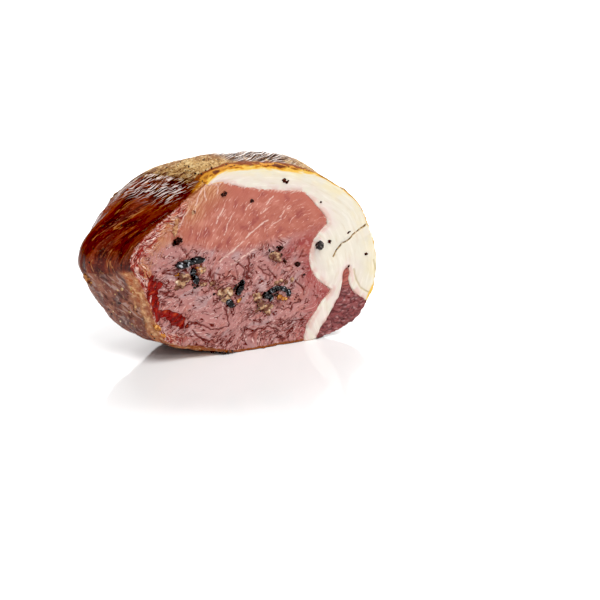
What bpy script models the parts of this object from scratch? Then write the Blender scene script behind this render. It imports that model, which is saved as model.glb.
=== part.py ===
"""Smoked, cured pork loin: the rounded end piece with its cut face, resting on its underside.

The loin is a short log of meat, cut across on the slant. Three things run through its whole
length and show at the cut: the lean, the fat cap over its back and right side, and the thin
strip of side muscle low on the right. Each is drawn once on the cut, as an outline in
millimetres, and carried back through one shared bend of space, so that neighbours keep their
gap all the way. The cut looks towards -Y, and the log runs back and to -X.
"""

import bisect
import random
from math import atan2, cos, degrees, exp, hypot, pi, radians, sin

import bmesh
import bpy
from mathutils import Matrix, Vector, noise
from mathutils.geometry import delaunay_2d_cdt

MM = 0.001

# The way the log runs from the cut, in millimetres and degrees
LOG_LENGTH = 57.5
LOG_TURN = 42.8
LOG_DROP = 6.1
END_TURN = 16.6
END_DOME = 12.0
CORE_HEIGHT = 40.0
REST_HEIGHT = 0.4

# How far the log reaches from its core at each quarter of its length, as shares of its reach at the
# cut, for seven angles counted anticlockwise from the right
QUARTERS = 4
REACH = {
    0: (1.00, 1.02, 0.96, 0.84, 0.58),
    60: (1.00, 1.19, 1.12, 0.98, 0.74),
    90: (1.00, 1.13, 1.06, 0.97, 0.80),
    135: (1.00, 1.01, 1.11, 0.99, 0.81),
    180: (1.00, 1.00, 1.05, 0.94, 0.61),
    225: (1.00, 0.97, 0.86, 0.71, 0.44),
    270: (1.00, 1.00, 0.97, 0.84, 0.50),
}

# The cut's outline, as (x, z) in millimetres on the cut plane, clockwise as seen from the front
FAT_SKIN = [
    (-23.5, 82.3), (-19.0, 85.6), (-11.0, 87.6), (5.2, 86.4), (21.1, 83.0), (33.2, 78.2), (48.6, 66.8),
    (54.8, 58.4), (56.4, 53.0), (58.4, 49.4), (61.2, 38.0), (61.1, 27.0), (57.2, 15.6),
]
FLAP_SKIN = [(50.5, 7.4), (41.0, 2.8), (31.0, 0.6)]
WEDGE_SKIN = [(25.0, 0.0)]
LEAN_SKIN = [
    (8.0, 0.0), (-9.0, 0.5), (-23.3, 4.0), (-36.5, 8.0), (-44.5, 12.6), (-48.1, 21.4), (-51.6, 33.0),
    (-55.6, 42.7), (-58.9, 48.5), (-56.6, 56.0), (-49.1, 63.1), (-41.6, 68.4), (-30.8, 76.8),
]
# Where the lean meets the fat, from the back down to the underside
SEAM = [
    (-20.9, 80.7), (-15.5, 80.9), (-9.5, 79.6), (-2.8, 77.1), (14.7, 73.2),
    (24.0, 71.9), (30.0, 66.0), (36.6, 57.0),
    (33.8, 53.0), (29.6, 48.0), (27.6, 39.5), (29.7, 33.0), (34.0, 27.6), (38.9, 23.6),
    (35.4, 19.8), (29.0, 12.4), (25.8, 5.0),
]
# The side muscle's upper edge, tip and inner edge
FLAP_EDGE = [
    (51.6, 20.0), (47.9, 25.6), (48.0, 31.6), (45.9, 33.4),
    (44.0, 27.0), (43.0, 20.0), (38.8, 12.6), (33.4, 5.6),
]
FAT_CREASE = [(52.6, 50.6), (48.0, 47.6), (43.4, 44.8), (40.6, 42.0), (39.0, 39.0)]

GAP = 0.5
SKIN_STEP = 4.2
SEAM_STEP = 3.2
GRID_STEP = 2.7
END_GRID_STEP = 6.5
GRID_CLEARANCE = 0.62
CREASE_STEP = 2.0
LAYERS = 15
CURVE_STEPS = 10

# Relief on the cut, in millimetres: it is wet and wrinkled below a line that climbs to the right
WET_LINE = 44.0
WET_CLIMB = 0.12
WET_BLEND = 4.0
WRINKLE_DEPTH = 0.9
WRINKLE_SIZE = 9.0
FIBRE_DEPTH = 0.25
FIBRE_LENGTH = 14.0
FIBRE_WIDTH = 5.0
CREASE_DEPTH = 1.3
CREASE_REACH = 1.4
# Relief on the smoked outside: bumps all round, and grooves along the log low on the left
MEAN_RADIUS = 45.0
SKIN_BUMP = 0.9
SKIN_BUMP_SIZE = 16.0
GROOVE_DEPTH = 0.7
GROOVE_ANGLE = 212.0
GROOVE_SPREAD = 26.0
GROOVES_PER_TURN = 34
RELIEF_STARTS = 0.16

# Spice left in the cut: (x, z, length, width, turn in degrees) in millimetres
LEAN_SPICE = [
    (-34.4, 46.4, 7.2, 3.4, 4), (-27.6, 47.0, 7.4, 3.6, 12), (-33.2, 39.8, 4.6, 4.0, 70),
    (-30.6, 36.4, 4.2, 3.4, 20), (-26.9, 40.6, 4.4, 3.2, 100), (-26.0, 36.2, 3.6, 2.8, 40),
    (-7.6, 32.6, 4.6, 3.0, 60), (-8.8, 29.6, 3.6, 3.0, 0), (-13.4, 29.7, 5.0, 3.8, 30),
    (-12.3, 25.0, 4.4, 3.8, 50), (5.4, 27.6, 4.2, 3.6, 20), (9.6, 28.8, 4.6, 2.8, 5),
    (14.6, 27.0, 4.4, 3.4, 140), (8.4, 24.4, 4.0, 3.0, 90),
    (12.6, 23.2, 3.6, 3.0, 10), (7.6, 47.8, 4.0, 3.0, 120), (11.2, 43.2, 5.0, 3.0, 130),
    (3.0, 21.8, 4.2, 3.0, 60), (-36.6, 57.8, 3.0, 2.4, 0), (-37.4, 64.0, 7.0, 1.8, 84),
]
SPICE_HEIGHT = 0.62
SPICE_LIFT = 0.12
PEPPERCORN = (32.2, 46.2, 4.0)
FAT_CHIP = (15.2, 78.4, 3.4, 2.0, 10)

LEAN_COLOUR = (0.45, 0.16, 0.15, 1.0)
FAT_COLOUR = (0.86, 0.76, 0.60, 1.0)
FLAP_COLOUR = (0.22, 0.05, 0.06, 1.0)


def direction(turn, drop=0.0):
    """A unit vector that runs back from the cut, turned towards -X and dropped below level."""
    level = cos(radians(drop))
    return Vector((-sin(radians(turn)) * level, cos(radians(turn)) * level, -sin(radians(drop))))


def curve_through(points, closed):
    """Points every few tenths of a span on a Catmull-Rom curve, and the place of each given point."""
    count = len(points)
    spans = count if closed else count - 1
    line = []
    places = []
    for i in range(spans):
        if closed:
            a, b, c, d = (points[(i + k) % count] for k in (-1, 0, 1, 2))
        else:
            a, b, c, d = (points[min(max(i + k, 0), count - 1)] for k in (-1, 0, 1, 2))
        places.append(len(line))
        for step in range(CURVE_STEPS):
            t = step / CURVE_STEPS
            line.append(tuple(
                0.5 * (
                    2 * q + (r - p) * t + (2 * p - 5 * q + 4 * r - s) * t * t
                    + (3 * q - p - 3 * r + s) * t ** 3
                )
                for p, q, r, s in zip(a, b, c, d)
            ))
    if not closed:
        places.append(len(line))
        line.append(points[-1])
    return line, places


def resampled(line, step):
    """The line at equal distances of about one step, with both ends kept."""
    lengths = [0.0]
    for a, b in zip(line, line[1:]):
        lengths.append(lengths[-1] + hypot(b[0] - a[0], b[1] - a[1]))
    count = max(1, round(lengths[-1] / step))
    found = []
    for k in range(count + 1):
        at = lengths[-1] * k / count
        i = min(max(bisect.bisect_right(lengths, at) - 1, 0), len(line) - 2)
        share = (at - lengths[i]) / max(lengths[i + 1] - lengths[i], 1e-9)
        found.append(tuple(p + (q - p) * share for p, q in zip(line[i], line[i + 1])))
    return found


def shifted(line, distance):
    """The open line moved sideways, to its left for a positive distance, with mitred corners."""
    moved = []
    for i, here in enumerate(line):
        before = line[max(i - 1, 0)]
        after = line[min(i + 1, len(line) - 1)]
        first = Vector((here[0] - before[0], here[1] - before[1]))
        second = Vector((after[0] - here[0], after[1] - here[1]))
        first = first.normalized() if first.length > 1e-6 else second.normalized()
        second = second.normalized() if second.length > 1e-6 else first
        mean = (first + second).normalized()
        side = Vector((-mean.y, mean.x))
        mitre = max(mean.dot(first), 0.5)
        moved.append((here[0] + side.x * distance / mitre, here[1] + side.y * distance / mitre))
    return moved


def inside(point, loop):
    x, z = point
    found = False
    for (ax, az), (bx, bz) in zip(loop, loop[1:] + loop[:1]):
        if (az > z) != (bz > z) and x < ax + (z - az) * (bx - ax) / (bz - az):
            found = not found
    return found


def distance_to(point, line):
    """How far a point lies from the nearest stretch of a line."""
    best = float("inf")
    x, z = point
    for (ax, az), (bx, bz) in zip(line, line[1:]):
        dx = bx - ax
        dz = bz - az
        share = ((x - ax) * dx + (z - az) * dz) / max(dx * dx + dz * dz, 1e-9)
        share = min(max(share, 0.0), 1.0)
        best = min(best, hypot(ax + dx * share - x, az + dz * share - z))
    return best


SKIN_POINTS = FAT_SKIN + FLAP_SKIN + WEDGE_SKIN + LEAN_SKIN
SKIN, SKIN_PLACES = curve_through(SKIN_POINTS, closed=True)
SKIN_RADII = sorted((atan2(z - CORE_HEIGHT, x) % (2 * pi), hypot(x, z - CORE_HEIGHT)) for x, z in SKIN)


def skin_stretch(first, last, step):
    """The skin between two of its given points, resampled."""
    start = SKIN_PLACES[first]
    stop = SKIN_PLACES[last] if last < len(SKIN_PLACES) else len(SKIN)
    return resampled((SKIN + SKIN[:1])[start:stop + 1], step)


def skin_radius(angle):
    """How far the cut's outline lies from the core at this angle."""
    angles = [a for a, _ in SKIN_RADII]
    i = bisect.bisect_right(angles, angle % (2 * pi)) % len(angles)
    (a, ra), (b, rb) = SKIN_RADII[i - 1], SKIN_RADII[i]
    share = ((angle - a) % (2 * pi)) / max((b - a) % (2 * pi), 1e-9)
    return ra + (rb - ra) * min(share, 1.0)


def reach(angle, share):
    """The log's reach at this angle and share of its length, against its reach at the cut."""
    i = min(int(share * QUARTERS), QUARTERS - 1)
    t = share * QUARTERS - i
    columns = sorted(REACH)
    degrees_round = degrees(angle) % 360
    j = bisect.bisect_right(columns, degrees_round) - 1
    upper = columns[j + 1] if j + 1 < len(columns) else 360
    blend = 0.5 - 0.5 * cos(pi * (degrees_round - columns[j]) / (upper - columns[j]))
    values = []
    for column in (columns[j], upper % 360):
        row = REACH[column]
        a, b, c, d = (row[min(max(i + k, 0), QUARTERS)] for k in (-1, 0, 1, 2))
        values.append(0.5 * (2 * b + (c - a) * t + (2 * a - 5 * b + 4 * c - d) * t * t
                             + (3 * b - a - 3 * c + d) * t ** 3))
    return values[0] * (1 - blend) + values[1] * blend


def skin_relief(angle, share, depth):
    """Bumps and lengthwise grooves of the smoked outside, which fade towards the core and the cut."""
    ring = Vector((cos(angle), sin(angle), 0.0)) * (MEAN_RADIUS / SKIN_BUMP_SIZE)
    bumps = noise.noise(ring + Vector((0.0, 0.0, share * LOG_LENGTH / SKIN_BUMP_SIZE)))
    low_left = exp(-((degrees(angle) % 360 - GROOVE_ANGLE) / GROOVE_SPREAD) ** 2)
    wander = 2.0 * noise.noise(Vector((share * 3.0, angle * 4.0, 5.0)))
    grooves = sin(angle * GROOVES_PER_TURN + wander)
    fade = min(share / RELIEF_STARTS, 1.0) * depth ** 4
    return fade * (SKIN_BUMP * bumps + GROOVE_DEPTH * low_left * grooves)


LOG_WAY = direction(LOG_TURN, LOG_DROP)
END_WAY = direction(END_TURN)
CORE = Vector((0.0, 0.0, CORE_HEIGHT))
END_CORE = CORE + LOG_WAY * LOG_LENGTH


def place(x, z, share):
    """The point of the log that a point of the cut reaches after this share of its length."""
    flat = Vector((x, 0.0, z))
    angle = atan2(z - CORE_HEIGHT, x)
    way = (END_CORE - flat).dot(END_WAY) / LOG_WAY.dot(END_WAY)
    core = CORE + LOG_WAY * (LOG_LENGTH * share)
    carried = flat + LOG_WAY * (way * share)
    depth = min(hypot(x, z - CORE_HEIGHT) / skin_radius(angle), 1.0)
    offset = (carried - core) * reach(angle, share)
    offset += offset.normalized() * skin_relief(angle, share, depth)
    point = core + offset
    point += END_WAY * (END_DOME * (1.0 - depth * depth) * share ** 3)
    return point


def cut_relief(x, z):
    """How far the cut stands out at a point, in millimetres: smooth above, wrinkled where it is wet."""
    wet = 1.0 / (1.0 + exp((z - WET_LINE - WET_CLIMB * x) / WET_BLEND))
    at = Vector((x / WRINKLE_SIZE, 0.0, 1.6 * z / WRINKLE_SIZE))
    wrinkles = noise.noise(at) + 0.6 * noise.noise(at * 2.1)
    fibres = noise.noise(Vector(((x + z) / FIBRE_LENGTH, 3.0, (x - z) / FIBRE_WIDTH)))
    crease = max(0.0, 1.0 - (distance_to((x, z), FAT_CREASE) / CREASE_REACH) ** 2)
    return WRINKLE_DEPTH * wet * wrinkles + FIBRE_DEPTH * fibres - CREASE_DEPTH * crease


def grid_inside(loop, step, clear, extra=()):
    """A triangular grid of points that lie inside a loop, clear of its edge and of the extra points."""
    closed = loop + loop[:1]
    low_x = min(x for x, _ in loop)
    low_z = min(z for _, z in loop)
    rows = int((max(z for _, z in loop) - low_z) / (step * 0.866)) + 1
    columns = int((max(x for x, _ in loop) - low_x) / step) + 2
    found = [p for p in extra if inside(p, loop) and distance_to(p, closed) > clear * 0.6]
    kept = len(found)
    for row in range(rows):
        for column in range(columns):
            point = (low_x + (column + 0.5 * (row % 2)) * step, low_z + row * step * 0.866)
            if not inside(point, loop) or distance_to(point, closed) < clear:
                continue
            if all(hypot(point[0] - x, point[1] - z) > clear for x, z in found[:kept]):
                found.append(point)
    return found


def filled(loop, inner):
    """Triangles over a loop and the points inside it, as indices into loop + inner, counterclockwise."""
    points = [Vector(p) for p in loop + inner]
    edges = [(i, (i + 1) % len(loop)) for i in range(len(loop))]
    _, _, faces, origins, _, _ = delaunay_2d_cdt(points, edges, [], 1, 1e-5)
    return [[origins[i][0] for i in face] for face in faces]


def flatten_underside(mesh):
    """Cuts the mesh off level where the meat has settled, and closes the cut."""
    everything = mesh.verts[:] + mesh.edges[:] + mesh.faces[:]
    bmesh.ops.bisect_plane(
        mesh, geom=everything, plane_co=(0.0, 0.0, REST_HEIGHT * MM),
        plane_no=(0.0, 0.0, -1.0), clear_outer=True
    )
    rim = [edge for edge in mesh.edges if edge.is_boundary]
    if rim:
        bmesh.ops.holes_fill(mesh, edges=rim)


def log_piece(name, loop, material, extra=()):
    """A closed mesh that carries one outline of the cut back to the rounded end."""
    mesh = bmesh.new()
    layers = []
    for layer in range(LAYERS + 1):
        share = layer / LAYERS
        ring = []
        for x, z in loop:
            point = place(x, z, share)
            if layer == 0:
                point.y -= cut_relief(x, z)
            ring.append(mesh.verts.new(point * MM))
        layers.append(ring)
    count = len(loop)
    for near, far in zip(layers, layers[1:]):
        for i in range(count):
            j = (i + 1) % count
            # Neighbours draw a shared line in opposite ways, so its height picks the fold for both
            if loop[i][1] + 0.4 * loop[i][0] < loop[j][1] + 0.4 * loop[j][0]:
                mesh.faces.new((near[i], near[j], far[j]))
                mesh.faces.new((near[i], far[j], far[i]))
            else:
                mesh.faces.new((near[i], near[j], far[i]))
                mesh.faces.new((near[j], far[j], far[i]))
    for share, ring, step in ((0.0, layers[0], GRID_STEP), (1.0, layers[-1], END_GRID_STEP)):
        inner = grid_inside(loop, step, step * GRID_CLEARANCE, extra if share == 0.0 else ())
        verts = list(ring)
        for x, z in inner:
            point = place(x, z, share)
            if share == 0.0:
                point.y -= cut_relief(x, z)
            verts.append(mesh.verts.new(point * MM))
        for face in filled(loop, inner):
            mesh.faces.new([verts[i] for i in face])
    bmesh.ops.recalc_face_normals(mesh, faces=mesh.faces)
    flatten_underside(mesh)
    data = bpy.data.meshes.new(name)
    mesh.to_mesh(data)
    mesh.free()
    data.materials.append(material)
    piece = bpy.data.objects.new(name, data)
    parts.objects.link(piece)
    return piece


def spice_bit(name, x, z, length, width, turn, height, divisions=1):
    """A small uneven lump that sits in the cut with about half of it showing."""
    mesh = bmesh.new()
    bmesh.ops.create_icosphere(mesh, subdivisions=divisions, radius=0.5)
    draw = random.Random(name)
    for vert in mesh.verts:
        vert.co *= 1.0 + draw.uniform(-0.12, 0.12)
    size = Matrix.Diagonal((length, height * width, width, 1.0))
    spin = Matrix.Rotation(radians(turn), 4, "Y")
    out = cut_relief(x, z) + SPICE_LIFT * height * width
    bmesh.ops.transform(mesh, verts=mesh.verts, matrix=spin @ size)
    bmesh.ops.transform(mesh, verts=mesh.verts, matrix=Matrix.Translation((x, -out, z)))
    bmesh.ops.scale(mesh, verts=mesh.verts, vec=(MM, MM, MM))
    data = bpy.data.meshes.new(name)
    mesh.to_mesh(data)
    mesh.free()
    return bpy.data.objects.new(name, data)


def fuse(piece, bits):
    """One union of the piece with all its bits."""
    tools = bpy.data.collections.new(piece.name + "_spice")
    bpy.context.scene.collection.children.link(tools)
    for bit in bits:
        tools.objects.link(bit)
    union = piece.modifiers.new("spice", "BOOLEAN")
    union.operation = "UNION"
    union.operand_type = "COLLECTION"
    union.collection = tools
    union.solver = "MANIFOLD"
    bpy.context.view_layer.update()
    graph = bpy.context.evaluated_depsgraph_get()
    joined = bpy.data.meshes.new_from_object(piece.evaluated_get(graph))
    piece.modifiers.clear()
    old = piece.data
    piece.data = joined
    bpy.data.meshes.remove(old)
    joined.name = piece.name
    for bit in bits:
        bpy.data.objects.remove(bit)
    bpy.data.collections.remove(tools)


def material(name, colour, roughness):
    made = bpy.data.materials.new(name)
    made.use_nodes = True
    shader = made.node_tree.nodes["Principled BSDF"]
    shader.inputs["Base Color"].default_value = colour
    shader.inputs["Roughness"].default_value = roughness
    shader.inputs["Metallic"].default_value = 0.0
    return made


def outlines():
    """The three outlines of the cut, each kept half a gap back from the lines that it shares."""
    fat_last = len(FAT_SKIN) - 1
    flap_last = len(FAT_SKIN + FLAP_SKIN) - 1
    wedge_last = len(FAT_SKIN + FLAP_SKIN + WEDGE_SKIN) - 1
    fat_skin = skin_stretch(0, fat_last, SKIN_STEP)
    flap_skin = skin_stretch(fat_last, flap_last, SKIN_STEP)
    wedge_skin = skin_stretch(flap_last, wedge_last, SKIN_STEP)
    lean_skin = skin_stretch(wedge_last, len(SKIN_POINTS), SKIN_STEP)
    seam_line, _ = curve_through([FAT_SKIN[0]] + SEAM + [WEDGE_SKIN[-1]], closed=False)
    seam = resampled(seam_line, SEAM_STEP)
    flap_line, _ = curve_through([FAT_SKIN[-1]] + FLAP_EDGE + [FLAP_SKIN[-1]], closed=False)
    flap_edge = resampled(flap_line, SEAM_STEP)
    lean_side = shifted(seam, -GAP / 2)
    fat_side = shifted(seam, GAP / 2)
    flap_side = shifted(flap_edge, GAP / 2)
    around_flap = shifted(flap_edge, -GAP / 2)
    lean = lean_skin[1:-1] + lean_side
    fat = fat_skin[1:-1] + around_flap + wedge_skin[1:-1] + fat_side[::-1]
    flap = flap_skin[1:-1] + flap_side[::-1]
    return lean, fat, flap


def on_the_underside():
    """Moves every piece so that the origin is under the middle of the whole, on what it rests on."""
    corners = [piece.matrix_world @ Vector(c) for piece in parts.objects for c in piece.bound_box]
    middle = Vector((
        (min(c.x for c in corners) + max(c.x for c in corners)) / 2,
        (min(c.y for c in corners) + max(c.y for c in corners)) / 2,
        min(c.z for c in corners),
    ))
    for piece in parts.objects:
        piece.data.transform(Matrix.Translation(-middle))
    print("moved by", [round(v / MM, 3) for v in -middle], "mm")


for old in list(bpy.data.objects):
    bpy.data.objects.remove(old)
parts = bpy.data.collections.new("smoked_pork_loin")
bpy.context.scene.collection.children.link(parts)

lean_loop, fat_loop, flap_loop = outlines()
crease_line = resampled(FAT_CREASE, CREASE_STEP)
crease_points = crease_line + shifted(crease_line, CREASE_REACH) + shifted(crease_line, -CREASE_REACH)

lean = log_piece("lean", lean_loop, material("lean", LEAN_COLOUR, 0.45))
fat_cap = log_piece("fat_cap", fat_loop, material("fat", FAT_COLOUR, 0.4), crease_points)
flap_muscle = log_piece("flap_muscle", flap_loop, material("flap", FLAP_COLOUR, 0.45))

fuse(lean, [spice_bit(f"lean_spice_{i}", *bit, SPICE_HEIGHT) for i, bit in enumerate(LEAN_SPICE)])
pepper_x, pepper_z, pepper_size = PEPPERCORN
fuse(fat_cap, [
    spice_bit("peppercorn", pepper_x, pepper_z, pepper_size, pepper_size, 0, 0.8, 2),
    spice_bit("fat_chip", *FAT_CHIP, SPICE_HEIGHT),
])
on_the_underside()
for piece in parts.objects:
    piece.data.polygons.foreach_set("use_smooth", [True] * len(piece.data.polygons))
    piece.data.set_sharp_from_angle(angle=radians(50))
    piece.data.update()
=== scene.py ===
# %% [markdown]
# Smoked, cured pork loin
#
# This is the end piece of a pork loin that was cured, smoked and then cut across on the slant.
# Its shape comes from three solids, which the first cell loads: the lean, the fat cap and a thin
# strip of side muscle. Everything below gives them their skin: fibres, wrinkles, marbling, smoke.

from itertools import product
from math import cos, radians, sin
from types import SimpleNamespace

import bmesh
import bpy
import numpy as np
from mathutils import Matrix, Vector, noise
from mathutils.bvhtree import BVHTree
from mathutils.kdtree import KDTree


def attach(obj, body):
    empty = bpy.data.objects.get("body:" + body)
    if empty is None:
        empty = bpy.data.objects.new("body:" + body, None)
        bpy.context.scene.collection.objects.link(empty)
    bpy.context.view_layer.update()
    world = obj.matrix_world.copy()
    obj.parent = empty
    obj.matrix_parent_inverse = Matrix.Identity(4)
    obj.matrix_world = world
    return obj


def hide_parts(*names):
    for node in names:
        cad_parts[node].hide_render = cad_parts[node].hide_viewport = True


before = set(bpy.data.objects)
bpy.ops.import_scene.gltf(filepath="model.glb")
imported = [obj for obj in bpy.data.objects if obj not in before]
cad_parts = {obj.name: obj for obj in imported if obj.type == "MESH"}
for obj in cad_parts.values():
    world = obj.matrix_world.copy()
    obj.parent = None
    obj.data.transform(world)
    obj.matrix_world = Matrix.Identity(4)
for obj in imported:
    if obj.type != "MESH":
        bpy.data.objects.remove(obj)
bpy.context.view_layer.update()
MM = 0.001

# %% [markdown]
# Where a point of the meat is
#
# A pattern on meat follows the muscle, not the room. So each point is described in two ways. On the
# cut it has an x and a z in millimetres, with the middle of the cut's lower edge as zero. On the
# outside it has an angle round the log, counted anticlockwise from the right, and a distance along
# the log. The log leaves the cut on the slant, and that is undone here.

# %% Places on the cut and along the log
# The middle of the cut's lower edge, in the frame, and the way that the log runs from there
CUT_ZERO = np.array([7.594, -26.292, -0.4])
LOG_WAY = np.array([-0.6756, 0.7296, -0.1063])
CORE_HEIGHT = 40.0
MEAN_RADIUS = 45.0

# The ripples by the fat run along the first of these directions in space, and follow along the second
STREAK_WAY = np.array([0.87, -0.24, 0.43])
STREAK_ACROSS = np.array([-0.28, 0.47, 0.84])


def along_log(points):
    """Angle in degrees from -90 to 270, and distance along the log in mm, of points by the cut's zero."""
    length = points[:, 1] / LOG_WAY[1]
    foot = points - length[:, None] * LOG_WAY
    angle = np.degrees(np.arctan2(foot[:, 2] - CORE_HEIGHT, foot[:, 0]))
    return np.where(angle < -90.0, angle + 360.0, angle), length


print("cut at y =", round(float(CUT_ZERO[1]), 2), "mm")

# %% [markdown]
# Noise for numbers in bulk
#
# Wrinkles and fibres come from smooth random hills and valleys. The usual way is gradient noise: a
# random slope at each corner of a grid, blended in between. Written for whole arrays at once, it
# moves a hundred thousand points in a moment. A stretched copy of it makes fibres, and the lines
# where it passes through zero make a net of fine cracks.

# %% Smooth random numbers
# The curve 6t5 - 15t4 + 10t3 blends one cell of the grid into the next
FADE = (6.0, -15.0, 10.0)

# Large odd numbers that scatter neighbouring cells far apart
SCATTER = (374761393, 668265263, 974711, 1274126177)


def random_at(cell, seed):
    """A number from -1 to 1 that depends only on the whole-number cell and the seed."""
    mixed = cell[:, 0] * SCATTER[0] + cell[:, 1] * SCATTER[1] + cell[:, 2] * SCATTER[2] + seed * SCATTER[3]
    mixed = (mixed ^ (mixed >> 13)) * SCATTER[3] & 0xFFFFFFFF
    return ((mixed ^ (mixed >> 16)) & 0xFFFF) / 32767.5 - 1.0


def hills(points, seed=0):
    """Gradient noise of about -1 to 1 at each row of points, with hills about one unit wide."""
    cell = np.floor(points).astype(np.int64)
    share = points - cell
    blend = share ** 3 * (share * (share * FADE[0] + FADE[1]) + FADE[2])
    total = np.zeros(len(points))
    for corner in product((0, 1), repeat=3):
        at = cell + corner
        weight = np.prod(np.where(corner, blend, 1.0 - blend), axis=1)
        slope = np.stack([random_at(at, seed + k) for k in range(3)], axis=1)
        total += weight * np.sum(slope * (share - corner), axis=1)
    return total * 1.5


def stretched(u, v, long, wide, seed):
    """Hills that are long in u and wide in v, all in millimetres."""
    return hills(np.stack([u / long, v / wide, np.full(len(u), seed * 7.31)], axis=1), seed)


def step_up(start, end, value):
    """0 below start, 1 above end, and a smooth rise between."""
    share = np.clip((value - start) / (end - start), 0.0, 1.0)
    return share * share * (3.0 - 2.0 * share)


def cracks(height, width):
    """1 on the lines where the hills pass through zero, fading to 0 at that height on either side."""
    return np.clip(1.0 - np.abs(height) / width, 0.0, 1.0)


print("noise between", hills(np.random.default_rng(1).uniform(0, 50, (4000, 3))).round(2)[:3])

# %% [markdown]
# An even mesh for each solid
#
# The solids are faceted, with triangles a few millimetres wide. Real meat has no facets, so each is
# wrapped in a voxel remesh, an even net of small squares. Smoothing then melts the facets, while the
# edge of the cut is held so that the knife's edge stays crisp. The cut is seen closest, and its net
# is made twice as fine.

# %% Sort each solid's triangles
# A triangle is on the cut when it is no further back than this, and on a seam when a neighbour is near
CUT_BAND = 1.75
UNDERSIDE_BAND = 2.0
SEAM_REACH = 0.95
CUT, OUTSIDE, SEAM = 0, 1, 2


def welded(name):
    """A solid's corners, by the cut's zero in mm, and its triangles, with shared corners joined."""
    mesh = bmesh.new()
    mesh.from_mesh(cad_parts[name].data)
    bmesh.ops.remove_doubles(mesh, verts=mesh.verts, dist=1e-6)
    bmesh.ops.triangulate(mesh, faces=mesh.faces)
    points = np.array([v.co for v in mesh.verts]) / MM - CUT_ZERO
    triangles = [[v.index for v in face.verts] for face in mesh.faces]
    mesh.free()
    return points, triangles


solids = {name: welded(name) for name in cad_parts}
trees = {name: BVHTree.FromPolygons(solids[name][0].tolist(), solids[name][1]) for name in solids}


def near_others(name, point, reach):
    """The nearest point of another solid within reach, or None."""
    found = [trees[other].find_nearest(point, reach)[::3] for other in trees if other != name]
    found = [(distance, place) for place, distance in found if place is not None]
    return min(found, key=lambda pair: pair[0])[1] if found else None


def sides_of(name):
    """For each triangle of a solid, whether it lies on the cut, on the outside or against a neighbour."""
    points, faces = solids[name]
    sides = []
    for face in faces:
        corners = points[face]
        normal = np.cross(corners[1] - corners[0], corners[2] - corners[0])
        underside = corners[:, 2].max() < UNDERSIDE_BAND and normal[2] < -0.8 * np.linalg.norm(normal)
        if corners[:, 1].max() < CUT_BAND and not underside:
            sides.append(CUT)
        elif near_others(name, corners.mean(axis=0), SEAM_REACH) is not None:
            sides.append(SEAM)
        else:
            sides.append(OUTSIDE)
    return np.array(sides)


sides = {name: sides_of(name) for name in solids}
for name in solids:
    print(name, "triangles on the cut, outside and seam:", np.bincount(sides[name], minlength=3))

# %% Distances to the rim and to the seams
SEAM_LOOK = 12.0
RIM_STEP = 0.35


def rim_tree(name, keep):
    """A search tree of points along the cut's outer edge, where keep is true of their angle and radius."""
    points, faces = solids[name]
    edges = {}
    for face, side in zip(faces, sides[name]):
        for a, b in zip(face, face[1:] + face[:1]):
            edges.setdefault((min(a, b), max(a, b)), []).append(side)
    rim = []
    for (a, b), found in edges.items():
        if sorted(found) == [CUT, OUTSIDE]:
            length = np.linalg.norm(points[b] - points[a])
            for share in np.arange(0.0, 1.0, RIM_STEP / max(length, RIM_STEP)):
                x, _, z = points[a] + (points[b] - points[a]) * share
                angle = along_log(np.array([[x, 0.0, z]]))[0][0]
                if keep(angle, np.hypot(x, z - CORE_HEIGHT)):
                    rim.append((x, 0.0, z))
    tree = KDTree(max(len(rim), 1))
    for i, place in enumerate(rim):
        tree.insert(place, i)
    tree.balance()
    return tree


def rim_distance(tree, points):
    """How far each point lies from that edge, as seen from the front, in mm."""
    return np.array([tree.find((x, 0.0, z))[2] for x, _, z in points])


def seam_distance(name, points):
    """How far each point lies from the neighbouring solids in mm, up to SEAM_LOOK."""
    found = [near_others(name, p, SEAM_LOOK) for p in points.tolist()]
    return np.array([SEAM_LOOK if place is None else np.linalg.norm(np.array(place) - p)
                     for place, p in zip(found, points)])


print("the rim is walked in steps of", RIM_STEP, "mm")

# %% Wrap a solid in an even mesh
NET_MM = 0.74
SMOOTHING_ROUNDS = 56


def net_arrays(data):
    """A mesh's points by the cut's zero in mm, and its edges."""
    points = np.empty(len(data.vertices) * 3)
    data.vertices.foreach_get("co", points)
    edges = np.empty(len(data.edges) * 2, np.int64)
    data.edges.foreach_get("vertices", edges)
    return points.reshape(-1, 3) / MM - CUT_ZERO, edges.reshape(-1, 2)


def put_back(data, points):
    data.vertices.foreach_set("co", ((points + CUT_ZERO) * MM).ravel())
    data.update()


def smoothed(points, edges, free, rounds):
    """Each free point moved halfway to the mean of its neighbours, several times over."""
    count = np.maximum(np.bincount(edges.ravel(), minlength=len(points)), 1)
    for _ in range(rounds):
        for axis in range(3):
            line = points[:, axis]
            mean = np.bincount(edges[:, 0], line[edges[:, 1]], len(points))
            mean += np.bincount(edges[:, 1], line[edges[:, 0]], len(points))
            points[:, axis] += free * 0.5 * (mean / count - line)
    return points


def nearest_sides(name, points):
    return np.array([sides[name][trees[name].find_nearest(p)[2]] for p in points.tolist()])


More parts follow.
